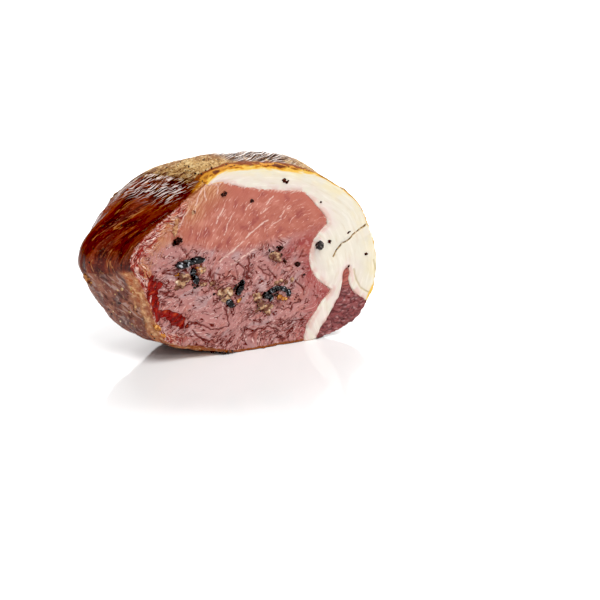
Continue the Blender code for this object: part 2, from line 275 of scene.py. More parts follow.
def even_net(name, piece_name):
    """A new piece in the form of a solid, as an even net without facets."""
    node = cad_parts[name]
    piece = bpy.data.objects.new(piece_name, node.data.copy())
    piece.data.materials.clear()
    bpy.context.scene.collection.objects.link(piece)
    remesh = piece.modifiers.new("even net", "REMESH")
    remesh.mode = "VOXEL"
    remesh.voxel_size = NET_MM * MM
    graph = bpy.context.evaluated_depsgraph_get()
    data = bpy.data.meshes.new_from_object(piece.evaluated_get(graph))
    piece.modifiers.clear()
    piece.data = data
    points, edges = net_arrays(data)
    side = nearest_sides(name, points)
    on_cut = side == CUT
    rim = np.zeros(len(points), bool)
    rim[edges[side[edges[:, 0]] != side[edges[:, 1]]].ravel()] = True
    points = smoothed(points, edges, np.where(on_cut | rim, 0.0, 1.0), SMOOTHING_ROUNDS)
    flat = points.copy()
    flat = smoothed(flat, edges, np.where(on_cut & ~rim, 1.0, 0.0), SMOOTHING_ROUNDS // 3)
    points[:, 1] = np.where(on_cut, flat[:, 1], points[:, 1])
    put_back(data, points)
    mesh = bmesh.new()
    mesh.from_mesh(data)
    mesh.verts.ensure_lookup_table()
    inner = [e for e in mesh.edges if on_cut[e.verts[0].index] and on_cut[e.verts[1].index]]
    bmesh.ops.subdivide_edges(mesh, edges=inner, cuts=1, use_grid_fill=True)
    mesh.to_mesh(data)
    mesh.free()
    return piece


print("the net's squares are", NET_MM, "mm wide, and half of that on the cut")
# %% [markdown]
# Close the seams
#
# The solids keep half a millimetre between them. On the real piece fat and lean have grown
# together, so each point near a neighbour is drawn towards it until the two just meet.

# %% Draw neighbours together
CLOSE_SHARE = 0.62
CLOSE_SHARE_AT_CUT = 1.35
CLOSE_REACH = 1.5


def drawn_together(name, points):
    moved = points.copy()
    for i, point in enumerate(points.tolist()):
        place = near_others(name, point, CLOSE_REACH)
        if place is None:
            continue
        gap = np.array(place) - point
        distance = np.linalg.norm(gap)
        fade = 1.0 - step_up(0.6, CLOSE_REACH, distance)
        share = CLOSE_SHARE_AT_CUT if point[1] < CUT_BAND else CLOSE_SHARE
        moved[i] += gap * (share * fade)
    return moved


print("seams close where the gap is under", CLOSE_REACH, "mm")

# %% [markdown]
# What a pattern asks of a point
#
# Every mask and bump below asks the same of a point. Is it on the cut, on the outside or in a seam?
# How far round and along the log is it, and how far from its neighbour? The answers are worked out
# once for each piece and kept together under short names.

# %% The points of a piece
FLOOR_LIFT = 0.02
SKIN_START = 2.5


def turned(u, v, turn):
    """The same places in directions turned by an angle."""
    return u * np.cos(turn) + v * np.sin(turn), v * np.cos(turn) - u * np.sin(turn)


def arch(value, rise, fall):
    """1 between two edges, each given as a start and an end, and 0 outside them."""
    return step_up(*rise, value) * (1.0 - step_up(*fall, value))


def new_piece(name, piece_name):
    """A piece in the form of a solid, and what the patterns ask of its points."""
    piece = even_net(name, piece_name)
    points, _ = net_arrays(piece.data)
    side = nearest_sides(name, points)
    seam = seam_distance(name, points)
    points = drawn_together(name, points)
    put_back(piece.data, points)
    normal = np.empty(points.size)
    piece.data.vertex_normals.foreach_get("vector", normal)
    angle, length = along_log(points)
    behind = 1.0 - step_up(2.0, 5.0, length)
    inside = np.where(side == CUT, 1.0, np.where(side == SEAM, behind, 0.0))
    return piece, SimpleNamespace(
        points=points, normal=normal.reshape(-1, 3), x=points[:, 0], z=points[:, 2], angle=angle,
        length=length, arc=np.radians(angle) * MEAN_RADIUS, cut=(side == CUT).astype(float),
        outside=(side == OUTSIDE).astype(float), inside=inside, seam=seam)


def carve_cut(at, relief):
    """Moves the cut towards the viewer by the relief."""
    at.points[:, 1] -= relief * at.cut


def raise_skin(piece, at, relief):
    """Moves the outside outwards by the relief, keeps all of it above the floor and shades it smooth."""
    at.points += at.normal * (relief * at.outside * step_up(0.0, SKIN_START, at.length))[:, None]
    at.points[:, 2] = np.maximum(at.points[:, 2], FLOOR_LIFT - CUT_ZERO[2])
    put_back(piece.data, at.points)
    faces = piece.data.polygons
    faces.foreach_set("use_smooth", [True] * len(faces))
    print(piece.name, len(at.points), "points,", sum(len(f.vertices) - 2 for f in faces), "triangles")


def shared_by_seam(relief, at):
    """The relief, but close to a neighbour the same low bumps on both pieces, so that their skins meet."""
    near = np.exp(-(at.seam / 3.5) ** 2)
    return relief * (1.0 - near) + 0.35 * near * stretched(at.arc, at.length, 10.0, 10.0, 55)


def store(piece, masks, directions):
    """Keeps numbers and directions on the mesh's points, where a material can read them."""
    for name, values in masks.items():
        layer = piece.data.attributes.new(name, "FLOAT", "POINT")
        layer.data.foreach_set("value", values.astype(np.float32))
    for name, columns in directions.items():
        layer = piece.data.attributes.new(name, "FLOAT_VECTOR", "POINT")
        columns = list(columns) + [0.0 * columns[0]] * (3 - len(columns))
        layer.data.foreach_set("vector", np.stack(columns, axis=1).astype(np.float32).ravel())


print("skin relief starts", SKIN_START, "mm behind the cut")

# %% [markdown]
# Colours
#
# Each colour is written as the hex value that an eye picks on a screen. Materials are computed in
# linear light, so one function turns the hex into linear numbers.

# %% Hex to linear light
def linear(text):
    parts = [int(text[i:i + 2], 16) / 255.0 for i in (1, 3, 5)]
    return tuple(p / 12.92 if p <= 0.04045 else ((p + 0.055) / 1.055) ** 2.4 for p in parts) + (1.0,)


print("cured lean in linear light:", [round(v, 3) for v in linear("#C07A6E")])

# %% [markdown]
# Building materials from nodes
#
# One small function adds a node, sets its own properties and fills its sockets, either with a
# number or with another node's output. The rest is painting. A coat is a colour and the masks that
# hold it in its place, and a surface is a ground colour with coats over it, the way a painter
# builds it up. A mask can be a pattern with two levels: nothing at the first, full at the second.

# %% Add nodes and lay coats
def add(tree, kind, sockets=None, stops=None, **settings):
    made = tree.nodes.new("ShaderNode" + kind)
    for name, value in settings.items():
        setattr(made, name, value)
    for socket, value in (sockets or {}).items():
        if isinstance(value, bpy.types.NodeSocket):
            tree.links.new(value, made.inputs[socket])
        else:
            made.inputs[socket].default_value = value
    for i, (position, colour) in enumerate(stops or ()):
        spot = made.color_ramp.elements[i] if i < 2 else made.color_ramp.elements.new(position)
        spot.position = position
        spot.color = colour
    return made


def multiplied(tree, *masks):
    """The masks multiplied together: numbers, outputs of nodes, or patterns with their two levels."""
    total = None
    for mask in masks:
        if isinstance(mask, tuple):
            value, low, high = mask
            levels = {"Value": value, "From Min": low, "From Max": high}
            mask = add(tree, "MapRange", levels, interpolation_type="SMOOTHSTEP").outputs[0]
        if total is None:
            total = mask
        else:
            total = add(tree, "Math", {0: total, 1: mask}, operation="MULTIPLY").outputs[0]
    return total


def coats(tree, ground, layers):
    """The ground colour with coats over it, each a colour and its masks."""
    ground = linear(ground) if isinstance(ground, str) else ground
    for colour, *masks in layers:
        colour = linear(colour) if isinstance(colour, str) else colour
        mix = add(tree, "Mix", {0: multiplied(tree, *masks), 6: ground, 7: colour}, data_type="RGBA")
        ground = mix.outputs[2]
    return ground


def masks_of(tree, names):
    """The masks that were worked out for each point of the mesh, by name."""
    return {name: add(tree, "Attribute", attribute_name=name).outputs["Fac"] for name in names.split()}


print("a ground of #808080 is", round(linear("#808080")[0], 3), "in linear light")

# %% [markdown]
# Patterns in millimetres
#
# Meat is patterned by fibres, wrinkles and stains. Each is noise, read in directions that were kept
# on the mesh, so that it follows the muscle. Its size is given in millimetres. Pushing the places
# about with more noise before reading them makes straight fibres wander.

# %% Noise that follows the meat
def grain(tree, name, long, wide, seed, detail=2.0):
    """Noise with hills long and wide in mm, in the grain's own directions."""
    where = add(tree, "Attribute", attribute_name=name).outputs["Vector"]
    per_mm = (1.0 / long, 1.0 / wide, 1.0 / wide)
    scaled = add(tree, "VectorMath", {0: where, 1: per_mm}, operation="MULTIPLY").outputs[0]
    offset = (seed * 3.7, seed * 1.9, seed)
    moved = add(tree, "VectorMath", {0: scaled, 1: offset}, operation="ADD").outputs[0]
    return add(tree, "TexNoise", {"Vector": moved, "Scale": 1.0, "Detail": detail}).outputs["Fac"]


def wandering(tree, name, size_mm, push_mm, seed):
    """The grain's places in mm, pushed about by noise, so that lines drawn on them wander."""
    where = add(tree, "Attribute", attribute_name=name).outputs["Vector"]
    sockets = {"Vector": where, "W": seed, "Scale": 1.0 / size_mm, "Detail": 2.0}
    about = add(tree, "TexNoise", sockets, noise_dimensions="4D").outputs["Color"]
    centred = add(tree, "VectorMath", {0: about, 1: (0.5, 0.5, 0.5)}, operation="SUBTRACT").outputs[0]
    push = add(tree, "VectorMath", {0: centred, "Scale": 2.0 * push_mm}, operation="SCALE").outputs[0]
    return add(tree, "VectorMath", {0: where, 1: push}, operation="ADD").outputs[0]


def drawn_out(tree, where, long, wide, detail=2.0):
    """Noise on those places, with hills long and wide in mm."""
    per_mm = (1.0 / long, 1.0 / wide, 0.0)
    scaled = add(tree, "VectorMath", {0: where, 1: per_mm}, operation="MULTIPLY").outputs[0]
    return add(tree, "TexNoise", {"Vector": scaled, "Scale": 1.0, "Detail": detail}).outputs["Fac"]


def wrinkle_lines(tree, where, long, wide, width, seed, detail=2.0):
    """1 where noise on these places passes through its middle, which draws thin wandering lines."""
    per_mm = (1.0 / long, 1.0 / wide, 0.0)
    scaled = add(tree, "VectorMath", {0: where, 1: per_mm}, operation="MULTIPLY").outputs[0]
    sockets = {"Vector": scaled, "W": seed, "Scale": 1.0, "Detail": detail, "Roughness": 0.6}
    level = add(tree, "TexNoise", sockets, noise_dimensions="4D").outputs["Fac"]
    centred = add(tree, "Math", {0: level, 1: 0.5}, operation="SUBTRACT").outputs[0]
    away = add(tree, "Math", {0: centred}, operation="ABSOLUTE").outputs[0]
    return multiplied(tree, (away, width, 0.3 * width))


def new_material(name):
    made = bpy.data.materials.new(name)
    made.use_nodes = True
    return made, made.node_tree, made.node_tree.nodes["Principled BSDF"]


def finish_surface(tree, shader, colour, roughness, height, height_mm):
    """Links colour and roughness, and a bump whose height runs from 0 to height_mm."""
    tree.links.new(colour, shader.inputs["Base Color"])
    tree.links.new(roughness, shader.inputs["Roughness"])
    bump = add(tree, "Bump", {"Height": height, "Distance": height_mm * MM, "Strength": 1.0})
    tree.links.new(bump.outputs["Normal"], shader.inputs["Normal"])


print("patterns are read in mm, and bumps are scaled by", MM)

# %% [markdown]
# Lean of the loin
#
# Cured lean is salmon pink where the knife left it smooth, and greyer and wetter low down, where
# brine has broken it into fine wrinkles. Its left edge is torn, with wet red showing between pale
# shreds. Single marks that the eye remembers, such as the long white seams of fat, are placed one by
# one, and noise fills in between them.

# %% Marks on the lean
# Where the wet part begins: x and z
WET_LINE = [(-60, 57), (-40, 56), (-30, 54.6), (-15, 49.6), (-2, 48.6), (7, 51.4), (22, 52.6), (40, 60)]

# Wine-red patches: x, z, half width, half height and turn
BLOOD = [
    (-48.9, 37.5, 2.9, 6.2, 10), (-46.2, 38.0, 2.4, 1.8, 35), (-47.6, 30.0, 2.3, 5.5, 10),
    (-46.2, 24.0, 1.9, 3.6, 10), (-43.6, 23.4, 2.2, 2.0, 0), (-38.0, 21.0, 6.2, 3.0, -43),
]

# Deep wrinkles of the wet part
FOLDS = [
    [(-30.0, 14.4), (-28.0, 11.2), (-23.8, 8.8), (-18.1, 7.2)],
    [(-32.0, 18.9), (-28.5, 17.7), (-22.9, 14.7), (-18.0, 13.2)],
    [(-18.0, 13.2), (-13.7, 14.6)], [(-14.6, 22.5), (-13.3, 18.0), (-13.0, 14.5)],
    [(-3.6, 45.9), (-2.6, 41.6), (-3.0, 38.2), (-4.5, 35.6)],
    [(-22.8, 41.8), (-21.8, 38.2), (-18.9, 39.8), (-16.8, 38.8)],
    [(-24.6, 35.8), (-22.5, 36.9), (-21.1, 34.6), (-17.7, 31.3)],
    [(-1.3, 27.4), (0.8, 24.3), (3.0, 19.8), (6.6, 16.0)],
    [(-14.9, 30.6), (-17.6, 32.6), (-21.9, 33.0)], [(-48.0, 41.4), (-44.7, 39.5), (-42.0, 37.4)],
    [(-45.5, 35.6), (-42.8, 33.8), (-40.0, 34.0)], [(2.4, 39.2), (4.4, 36.2), (7.3, 35.6)],
    [(7.0, 37.6), (9.6, 34.0), (11.2, 32.2)], [(-8.0, 43.0), (-5.3, 40.2), (-4.4, 37.0)],
    [(-37.7, 43.3), (-40.0, 42.0), (-41.4, 42.6)],
    [(10.0, 19.0), (14.0, 17.6), (19.0, 18.4), (23.0, 21.0)],
    [(-6.0, 12.0), (0.0, 9.6), (6.0, 10.4), (11.0, 8.4)],
    [(16.0, 10.0), (21.0, 11.6), (25.0, 10.4)], [(20.0, 30.0), (23.4, 27.0), (24.6, 23.0)],
]

# Where the wet part is most wrinkled: round the spice and along the bottom
BUSY = [
    (-33.0, 42.0, 9.0, 6.0, 0), (-11.0, 30.0, 7.0, 6.5, 40), (9.0, 26.0, 8.5, 5.5, 0),
    (1.0, 20.0, 6.0, 6.0, 0), (-24.0, 5.5, 20.0, 5.5, 0), (14.0, 7.0, 20.0, 6.0, 0),
    (-43.0, 35.0, 5.5, 9.0, 0), (9.0, 45.0, 8.0, 3.5, -38), (-20.0, 36.0, 8.0, 3.0, -25),
    (-3.0, 38.0, 3.0, 7.0, -20), (-36.0, 17.0, 8.0, 6.0, 0),
]

# Seams of fat in the lean: points along each, and its width
MARBLE = [
    ([(-17.5, 44.6), (-11.5, 48.6), (-8.0, 51.0), (-2.0, 56.2), (4.5, 60.5), (6.4, 61.0)], 0.46),
    ([(-11.6, 43.1), (-8.4, 44.2), (-5.0, 46.2), (0.5, 48.4)], 0.37),
    ([(-14.6, 57.0), (-13.4, 60.0), (-12.8, 62.0), (-10.4, 65.6)], 0.34),
    ([(-18.0, 62.5), (-17.0, 66.0), (-15.0, 69.5)], 0.34),
    ([(-4.0, 67.0), (-2.6, 69.0), (-1.2, 70.4)], 0.30),
    ([(7.0, 57.0), (10.0, 59.4), (13.0, 60.8)], 0.33),
    ([(12.0, 62.0), (15.0, 64.6), (17.6, 66.0)], 0.30),
    ([(3.0, 64.5), (5.2, 66.0), (7.4, 70.6), (9.0, 71.8)], 0.31),
    ([(-24.4, 79.8), (-26.3, 76.4), (-27.7, 72.4), (-28.2, 68.8)], 0.42),
    ([(-19.1, 82.6), (-17.2, 79.8), (-17.7, 76.2)], 0.36),
    ([(-22.5, 82.0), (-23.4, 77.9), (-22.9, 74.1)], 0.34),
    ([(-13.4, 81.4), (-10.6, 78.9)], 0.32),
    ([(-36.0, 63.0), (-33.4, 67.6), (-31.0, 71.0)], 0.34),
]

# The bits of spice that the meat has shrunk round
PULLED = [(-32.0, 46.0), (-30.0, 39.0), (-20.0, 35.0), (-7.0, 32.0), (-12.5, 25.5), (8.0, 27.0),
          (2.0, 20.0), (20.5, 38.0)]

# Where the lean is a deep pink, beside the lobe of fat
WINE = [(22.0, 47.0, 10.0, 4.0, 25), (28.0, 36.0, 3.5, 10.0, 0), (33.0, 22.0, 5.0, 4.0, -30)]

# A band of tan gristle from the rib down to the torn edge
GRISTLE = [(-38.5, 66.0), (-41.0, 61.8), (-45.0, 55.1), (-51.2, 48.7), (-51.6, 45.0)]

# Where the lean is tan from the smoke, at its upper left
CORNER = [(-24.0, 80.0, 7.5, 6.0, 0), (-31.0, 73.0, 5.0, 7.0, 30), (-44.0, 57.0, 3.0, 8.0, 35)]

print(len(MARBLE), "seams of fat,", len(FOLDS), "deep wrinkles and", len(BLOOD), "red patches")

# %% Masks from places and lines
def ellipse(x, z, places):
    """1 in the middle of each place (x, z, half width, half height, turn) and 0 outside it."""
    total = np.zeros(len(x))
    for middle_x, middle_z, half_wide, half_high, turn in places:
        u, v = turned(x - middle_x, z - middle_z, radians(turn))
        total = np.maximum(total, np.exp(-(u / half_wide) ** 2 - (v / half_high) ** 2))
    return total


def near_line(x, z, line, width):
    """1 on a line of points and 0 a width away."""
    best = np.full(len(x), 1e9)
    for (ax, az), (bx, bz) in zip(line, line[1:]):
        dx, dz = bx - ax, bz - az
        share = np.clip(((x - ax) * dx + (z - az) * dz) / (dx * dx + dz * dz), 0.0, 1.0)
        best = np.minimum(best, np.hypot(ax + dx * share - x, az + dz * share - z))
    return 1.0 - step_up(0.3 * width, width, best)


def pulled(x, z):
    """Wrinkles that run towards the nearest bit of spice, as the meat shrank round it."""
    away = np.array([np.hypot(x - place_x, z - place_z) for place_x, place_z in PULLED])
    nearest = away.argmin(axis=0)
    middle = np.array(PULLED)[nearest]
    distance = away.min(axis=0)
    turn = np.arctan2(z - middle[:, 1], x - middle[:, 0])
    rays = stretched(distance + 20.0 * nearest, 6.0 * turn, 5.0, 0.95, 81)
    return step_up(0.22, 0.45, rays) * arch(distance, (2.0, 4.0), (6.0, 10.5))


across_line = np.array([0.0, 0.3, 0.6])
at_line = near_line(across_line, 0.0 * across_line, [(0, -1), (0, 1)], 0.6)
print("a line's mask at", across_line, "mm:", at_line)

# %% [markdown]
# The cut of the lean, from top to bottom
#
# A sharp knife leaves dry muscle almost flat, so the upper part gets slow swells and no more. Its
# fibres fan out, from steep on the left to shallow on the right. Lower down the meat is wet: there
# a net of cracks, short nicks and the listed folds go half a millimetre deep. They are cut
# into the mesh, because a bump alone would vanish when the light moves.

# %% Fibres, wrinkles and the torn edge
FIBRE_TURN = 50.0
FIBRE_TURN_PER_MM = -0.5
FIBRE_MIDDLE = (-5.0, 65.0)
NICK_TURN = radians(34.0)

# How wide the torn edge is: angle round the log, and millimetres
TORN_REACH = [(118.0, 2.5), (135.0, 6.0), (150.0, 10.5), (162.0, 11.0),
              (174.0, 7.0), (190.0, 5.0), (215.0, 4.5)]


def smooth_cut(at):
    """The directions of the fibres, slow swells, and the seams of fat."""
    fan = np.radians(FIBRE_TURN + FIBRE_TURN_PER_MM * (at.x - FIBRE_MIDDLE[0]))
    at.u, at.v = turned(at.x - FIBRE_MIDDLE[0], at.z - FIBRE_MIDDLE[1], fan)
    at.fibres = stretched(at.u, at.v, 13.0, 2.0, 41)
    at.swells = stretched(at.x, at.z, 15.0, 15.0, 42)
    at.swirl = 2.2 * stretched(at.x, at.z, 9.0, 9.0, 11)
    at.wiggle = 0.5 * stretched(at.x, at.z, 3.0, 3.0, 12)
    at.marble = np.zeros(len(at.x))
    for line, width in MARBLE:
        at.marble = np.maximum(at.marble, near_line(at.x + at.wiggle, at.z - at.wiggle, line, width))


def wet_cut(at):
    """Where the cut is wet, its curly wrinkles in patches and the short nicks between them."""
    x, z = at.x, at.z
    flow = 4.2 * stretched(x, z, 13.0, 13.0, 14)
    wet_height = np.interp(x, *zip(*WET_LINE)) + 2.2 * stretched(x, z, 9.0, 9.0, 3)
    at.wet = 1.0 - step_up(-2.5, 2.5, z - wet_height)
    at.wet *= 1.0 - 0.75 * step_up(16.0, 26.0, x) * step_up(40.0, 46.0, z)
    along, across = turned(x + flow + 0.4 * at.swirl, z - flow + 0.4 * at.swirl, NICK_TURN)
    patch = stretched(x, z, 9.0, 9.0, 23)
    wide_net = cracks(stretched(along, across, 7.5, 4.2, 21), 0.14) * step_up(-0.30, 0.05, patch)
    fine_net = cracks(stretched(along, across, 4.0, 2.3, 22), 0.18) * step_up(0.18, -0.15, patch)
    breaks = step_up(-0.25, 0.10, stretched(x, z, 2.6, 2.6, 26))
    nicks = step_up(0.42, 0.62, stretched(along, across, 3.8, 0.95, 27))
    at.busy = 0.10 + 0.90 * np.minimum(1.0, 1.2 * ellipse(x + at.wiggle, z, BUSY))
    fissure = np.maximum(np.maximum(wide_net, fine_net) * breaks, nicks) * at.wet
    fissure *= step_up(0.25, 0.75, at.busy + 0.45 * stretched(x, z, 3.0, 3.0, 28))
    fissure = np.maximum(fissure, 0.8 * pulled(x + 0.5 * at.swirl, z - 0.5 * at.swirl))
    at.shift = 1.6 * stretched(x, z, 2.6, 2.6, 29)
    for line in FOLDS:
        fissure = np.maximum(fissure, near_line(x + at.shift, z - at.shift, line, 0.55))
    at.fissure = fissure
    at.puffs = stretched(along, across, 3.6, 2.2, 24)
    at.along, at.across = along, across


def torn_edge(at):
    """The cut's left edge: torn ridges that run along it."""
    x, z = at.x, at.z
    at.left = arch(at.angle, (124.0, 140.0), (212.0, 232.0))
    reach = np.interp(at.angle, *zip(*TORN_REACH))
    at.edge = (1.0 - step_up(0.5 * reach, reach, at.rim + 1.4 * at.swirl)) * at.left
    at.torn_arc = at.arc + 0.8 * at.swirl + 1.2 * stretched(x, z, 2.4, 2.4, 33)
    at.torn_rim = at.rim + 0.35 * at.arc + 0.9 * at.swirl + 0.9 * stretched(x, z, 2.2, 2.2, 34)
    at.torn = stretched(at.torn_arc, at.torn_rim, 3.2, 0.90, 31)
    frayed = step_up(-0.1, 0.4, stretched(x, z, 3.0, 3.0, 32))
    at.ridge = step_up(0.18, 0.36, at.torn) * frayed * at.edge
    outer = 1.0 - 0.75 * step_up(3.0, 8.0, at.rim + at.swirl)
    at.valley = step_up(0.05, 0.26, -at.torn) * at.edge * outer


print("the torn edge is up to", max(width for _, width in TORN_REACH), "mm wide")

# %% [markdown]
# The smoked side of the lean
#
# Smoke dries the outside to bark. On the upper side it shrinks along the fibres and leaves long
# shallow streaks, lower down it folds into short grooves, and by the fat it is finely rippled. All
# three are noise, stretched and turned. The ripples by the fat run in directions that are fixed in
# space and not round the log, so that they cross the seam between lean and fat unbroken.

# %% Build the lean
BARK_ANGLES = (116.0, 174.0)
GREY_ANGLES = (174.0, 248.0)
STREAK_TURN = radians(17.0)
GROOVE_TURN = radians(-27.0)
END_RADIUS = (20.0, 36.0)


def smoked_side(at):
    """The relief of the outside: streaks, grooves and ripples, and low bumps all round."""
    arc, length, angle = at.arc, at.length, at.angle
    foot = at.points - length[:, None] * LOG_WAY
    at.end = (1.0 - step_up(*END_RADIUS, np.hypot(foot[:, 0], foot[:, 2] - CORE_HEIGHT))) * at.outside
    wobble = 3.0 * stretched(arc, length, 12.0, 12.0, 51)
    at.bark = step_up(BARK_ANGLES[0] - 3.0, BARK_ANGLES[0] + 3.0, angle)
    at.bark *= 1.0 - step_up(-1.0, 1.0, angle + wobble - BARK_ANGLES[1])
    at.grey = step_up(-1.0, 1.0, angle + wobble - GREY_ANGLES[0])
    at.grey *= 1.0 - step_up(-8.0, 8.0, angle - GREY_ANGLES[1])
    at.su, at.sv = turned(arc, length, STREAK_TURN)
    at.gu, at.gv = turned(arc, length, GROOVE_TURN)
    at.tu, at.tv = at.points @ STREAK_WAY, at.points @ STREAK_ACROSS
    at.streak = stretched(at.su, at.sv, 16.0, 2.6, 52)
    crinkle = stretched(at.su, at.sv, 5.0, 1.3, 53)
    groove = stretched(at.gu, at.gv + 0.6 * wobble, 9.0, 2.6, 54)
    at.crest = arch(angle, (116.0, 121.0), (130.0, 139.0)) * step_up(2.0, 6.0, length)
    at.crest *= (1.0 - step_up(24.0, 40.0, length)) * (1.0 - at.end)
    relief = at.bark * (0.34 * at.streak + 0.13 * crinkle) + at.grey * (0.75 * groove + 0.14 * crinkle)
    relief *= 1.0 - at.end
    relief += at.crest * 0.35 * stretched(at.tu, at.tv, 7.0, 1.2, 56)
    relief += 0.5 * stretched(arc, length, 10.0, 10.0, 55)
    return shared_by_seam(relief, at)


def lean_piece():
    piece, at = new_piece("lean", "cured_lean")
    at.rim = rim_distance(rim_tree("lean", lambda angle, radius: angle > 100.0 or angle < -49.0), at.points)
    smooth_cut(at)
    wet_cut(at)
    torn_edge(at)
    calm = 1.0 - at.edge
    relief = 0.04 * at.fibres * (1.0 - at.wet) + 0.25 * at.swells + 0.30 * at.wet * at.puffs * calm
    relief += 0.55 * at.torn * at.edge - 0.42 * at.fissure * calm + 0.05 * at.marble
    carve_cut(at, relief * step_up(0.0, 1.0, at.seam + 0.3))
    raise_skin(piece, at, smoked_side(at))
    x, z, rim, swirl, seam = at.x, at.z, at.rim, at.swirl, at.seam
    gilt_reach = np.where(at.cut > 0.5, 1.3 * rim, 0.5 * at.length) + 0.5 * at.wiggle
    blotted = 0.45 * stretched(at.along, at.across, 3.2, 2.2, 35)
    masks = {
        "blood": ellipse(x + 0.6 * swirl, z - 0.6 * swirl, BLOOD) + blotted,
        "corner": ellipse(x + at.wiggle, z, CORNER),
        "wine": ellipse(x + 0.5 * swirl, z, WINE),
        "gristle": near_line(x + at.shift + 0.5 * swirl, z - at.shift, GRISTLE, 4.2),
        "peach": (1.0 - step_up(6.0, 20.0, rim + 3.0 * swirl)) * step_up(52.0, 60.0, z),
        "gilt": (1.0 - step_up(0.1, 2.4, gilt_reach)) * arch(at.angle, (100.0, 106.0), (120.0, 136.0)),
        "low_rim": (1.0 - step_up(0.2, 2.6, rim)) * (1.0 - at.left),
        "fringe": 1.0 - step_up(0.3, 2.6, seam),
        "by_fat": 1.0 - step_up(0.5, 8.0, seam),
        "by_fat_out": 1.0 - step_up(0.0, 6.0, seam),
        "fissure": at.fissure * calm,
        "streak": step_up(0.05, 0.7, at.streak),
        "near_cut": 1.0 - step_up(2.0, 15.0, at.length),
        "far": step_up(20.0, 30.0, at.length),
        "far_in": 0.15 + 0.85 * step_up(2.0, 9.0, at.length),
    }
    for name in "inside wet marble edge ridge valley busy bark grey crest end".split():
        masks[name] = getattr(at, name)
    store(piece, masks, {
        "cut_grain": (at.u, at.v), "wet_grain": (at.along, at.across),
        "edge_grain": (at.torn_arc, at.torn_rim), "skin_grain": (at.su, at.sv),
        "grey_grain": (at.gu, at.gv), "sheen_grain": (at.tu, at.tv), "place_grain": at.points.T,
    })
    return piece


lean = lean_piece()

# %% [markdown]
# Material of the lean, on the cut
#
# Cured muscle is moist protein, with an IOR near that of water. Its fibres are 0.05 to 0.1 mm wide,
# far below a pixel, so they are drawn as bundles of 0.7 mm. Where the knife left it dry it is soft
# and dull, where brine has soaked it it mirrors the lamps. The wet part's nicks and cracks have a
# dark floor of painted shade and a lit lip of painted highlight. In the torn edge pale shreds lie
# over wet red, with thin near-white lines of painted glint on them.

# %% Flesh
LEAN_MASKS = """inside wet fissure marble edge ridge valley blood by_fat fringe busy peach corner wine gristle
    by_fat_out low_rim gilt bark grey streak crest near_cut far_in far end"""


def lean_patterns(tree, mask):
    """The patterns that more than one coat of the lean uses."""
    seen = SimpleNamespace()
    seen.bundles = drawn_out(tree, wandering(tree, "cut_grain", 7.0, 2.2, 1.0), 5.0, 0.7, 3.0)
    seen.mottle = grain(tree, "cut_grain", 6.0, 4.5, 3.0, 3.0)
    seen.crumbs = grain(tree, "wet_grain", 1.3, 0.9, 4.0, 3.0)
    seen.clouds = grain(tree, "wet_grain", 9.0, 6.0, 9.0, 3.0)
    seen.threads = grain(tree, "skin_grain", 12.0, 0.9, 5.0, 4.0)
    seen.fine = grain(tree, "skin_grain", 3.6, 0.5, 6.0, 3.0)
    seen.patches = grain(tree, "skin_grain", 8.0, 4.5, 7.0, 4.0)
    seen.freckles = grain(tree, "place_grain", 1.6, 1.6, 28.0, 2.0)
    seen.grooves = drawn_out(tree, wandering(tree, "grey_grain", 4.0, 2.4, 8.0), 4.4, 1.5, 4.0)
    seen.lines = wet_lines(tree, mask)
    return seen


def wet_lines(tree, mask):
    """Nicks about 3 mm long that run up to the right, and curls. They crowd round the spice. Also the lips
    beside the nicks, which get a painted highlight.
    """
    crowding = {"Value": mask["busy"], "To Min": 0.12, "To Max": 0.015}
    sparse = add(tree, "MapRange", crowding).outputs[0]
    strokes = grain(tree, "wet_grain", 3.4, 0.62, 12.0, 1.0)
    strokes = add(tree, "Math", {0: strokes, 1: sparse}, operation="SUBTRACT").outputs[0]
    breaks = grain(tree, "wet_grain", 3.0, 3.0, 17.0, 1.0)
    broken = add(tree, "Math", {0: breaks, 1: sparse}, operation="SUBTRACT").outputs[0]
    curls = wrinkle_lines(tree, wandering(tree, "wet_grain", 2.6, 1.3, 2.0), 3.3, 1.6, 0.044, 1.0, 1.0)
    curls = multiplied(tree, curls, (broken, 0.42, 0.48))
    nicks = multiplied(tree, (strokes, 0.60, 0.64))
    dark = add(tree, "Math", {0: nicks, 1: curls}, operation="MAXIMUM").outputs[0]
    return SimpleNamespace(dark=dark, lips=multiplied(tree, (strokes, 0.53, 0.56), (strokes, 0.60, 0.57)),
                           breaks=breaks)


def dry_flesh(tree, mask, seen):
    flecks = drawn_out(tree, wandering(tree, "cut_grain", 5.0, 1.8, 2.0), 3.4, 0.7, 1.0)
    return coats(tree, "#B26858", [
        ("#C27C6C", (seen.mottle, 0.50, 0.66)),
        ("#9E524A", (seen.mottle, 0.47, 0.34)),
        ("#C98878", (seen.bundles, 0.52, 0.70), 0.3),
        ("#94463E", (seen.bundles, 0.48, 0.30), 0.3),
        ("#DDAEA0", (flecks, 0.62, 0.68), 0.75),
        ("#B66858", mask["by_fat"], (seen.mottle, 0.25, 0.50)),
        ("#A85E46", mask["peach"], 0.6),
        ("#C48A62", mask["corner"], 0.9),
        ("#DDB08E", mask["corner"], (seen.bundles, 0.52, 0.60)),
        ("#9C5238", mask["corner"], (seen.bundles, 0.44, 0.38)),
    ])


def wet_flesh(tree, mask, seen):
    return coats(tree, "#B47C77", [
        ("#B06E64", (seen.clouds, 0.52, 0.66)),
        ("#B48E8C", (seen.clouds, 0.47, 0.36)),
        ("#A34F4C", mask["by_fat"], 0.8),
        ("#D8B4AE", (seen.crumbs, 0.58, 0.70), 0.55),
        ("#8C4B47", (seen.crumbs, 0.42, 0.30), 0.30),
        ("#A0605A", mask["busy"], (seen.lines.breaks, 0.44, 0.60)),
        # Painted highlight on the lips of the nicks, then painted shade on their dark floors
        ("#E6C4BC", seen.lines.lips, 0.85),
        ("#601A14", seen.lines.dark),
    ])


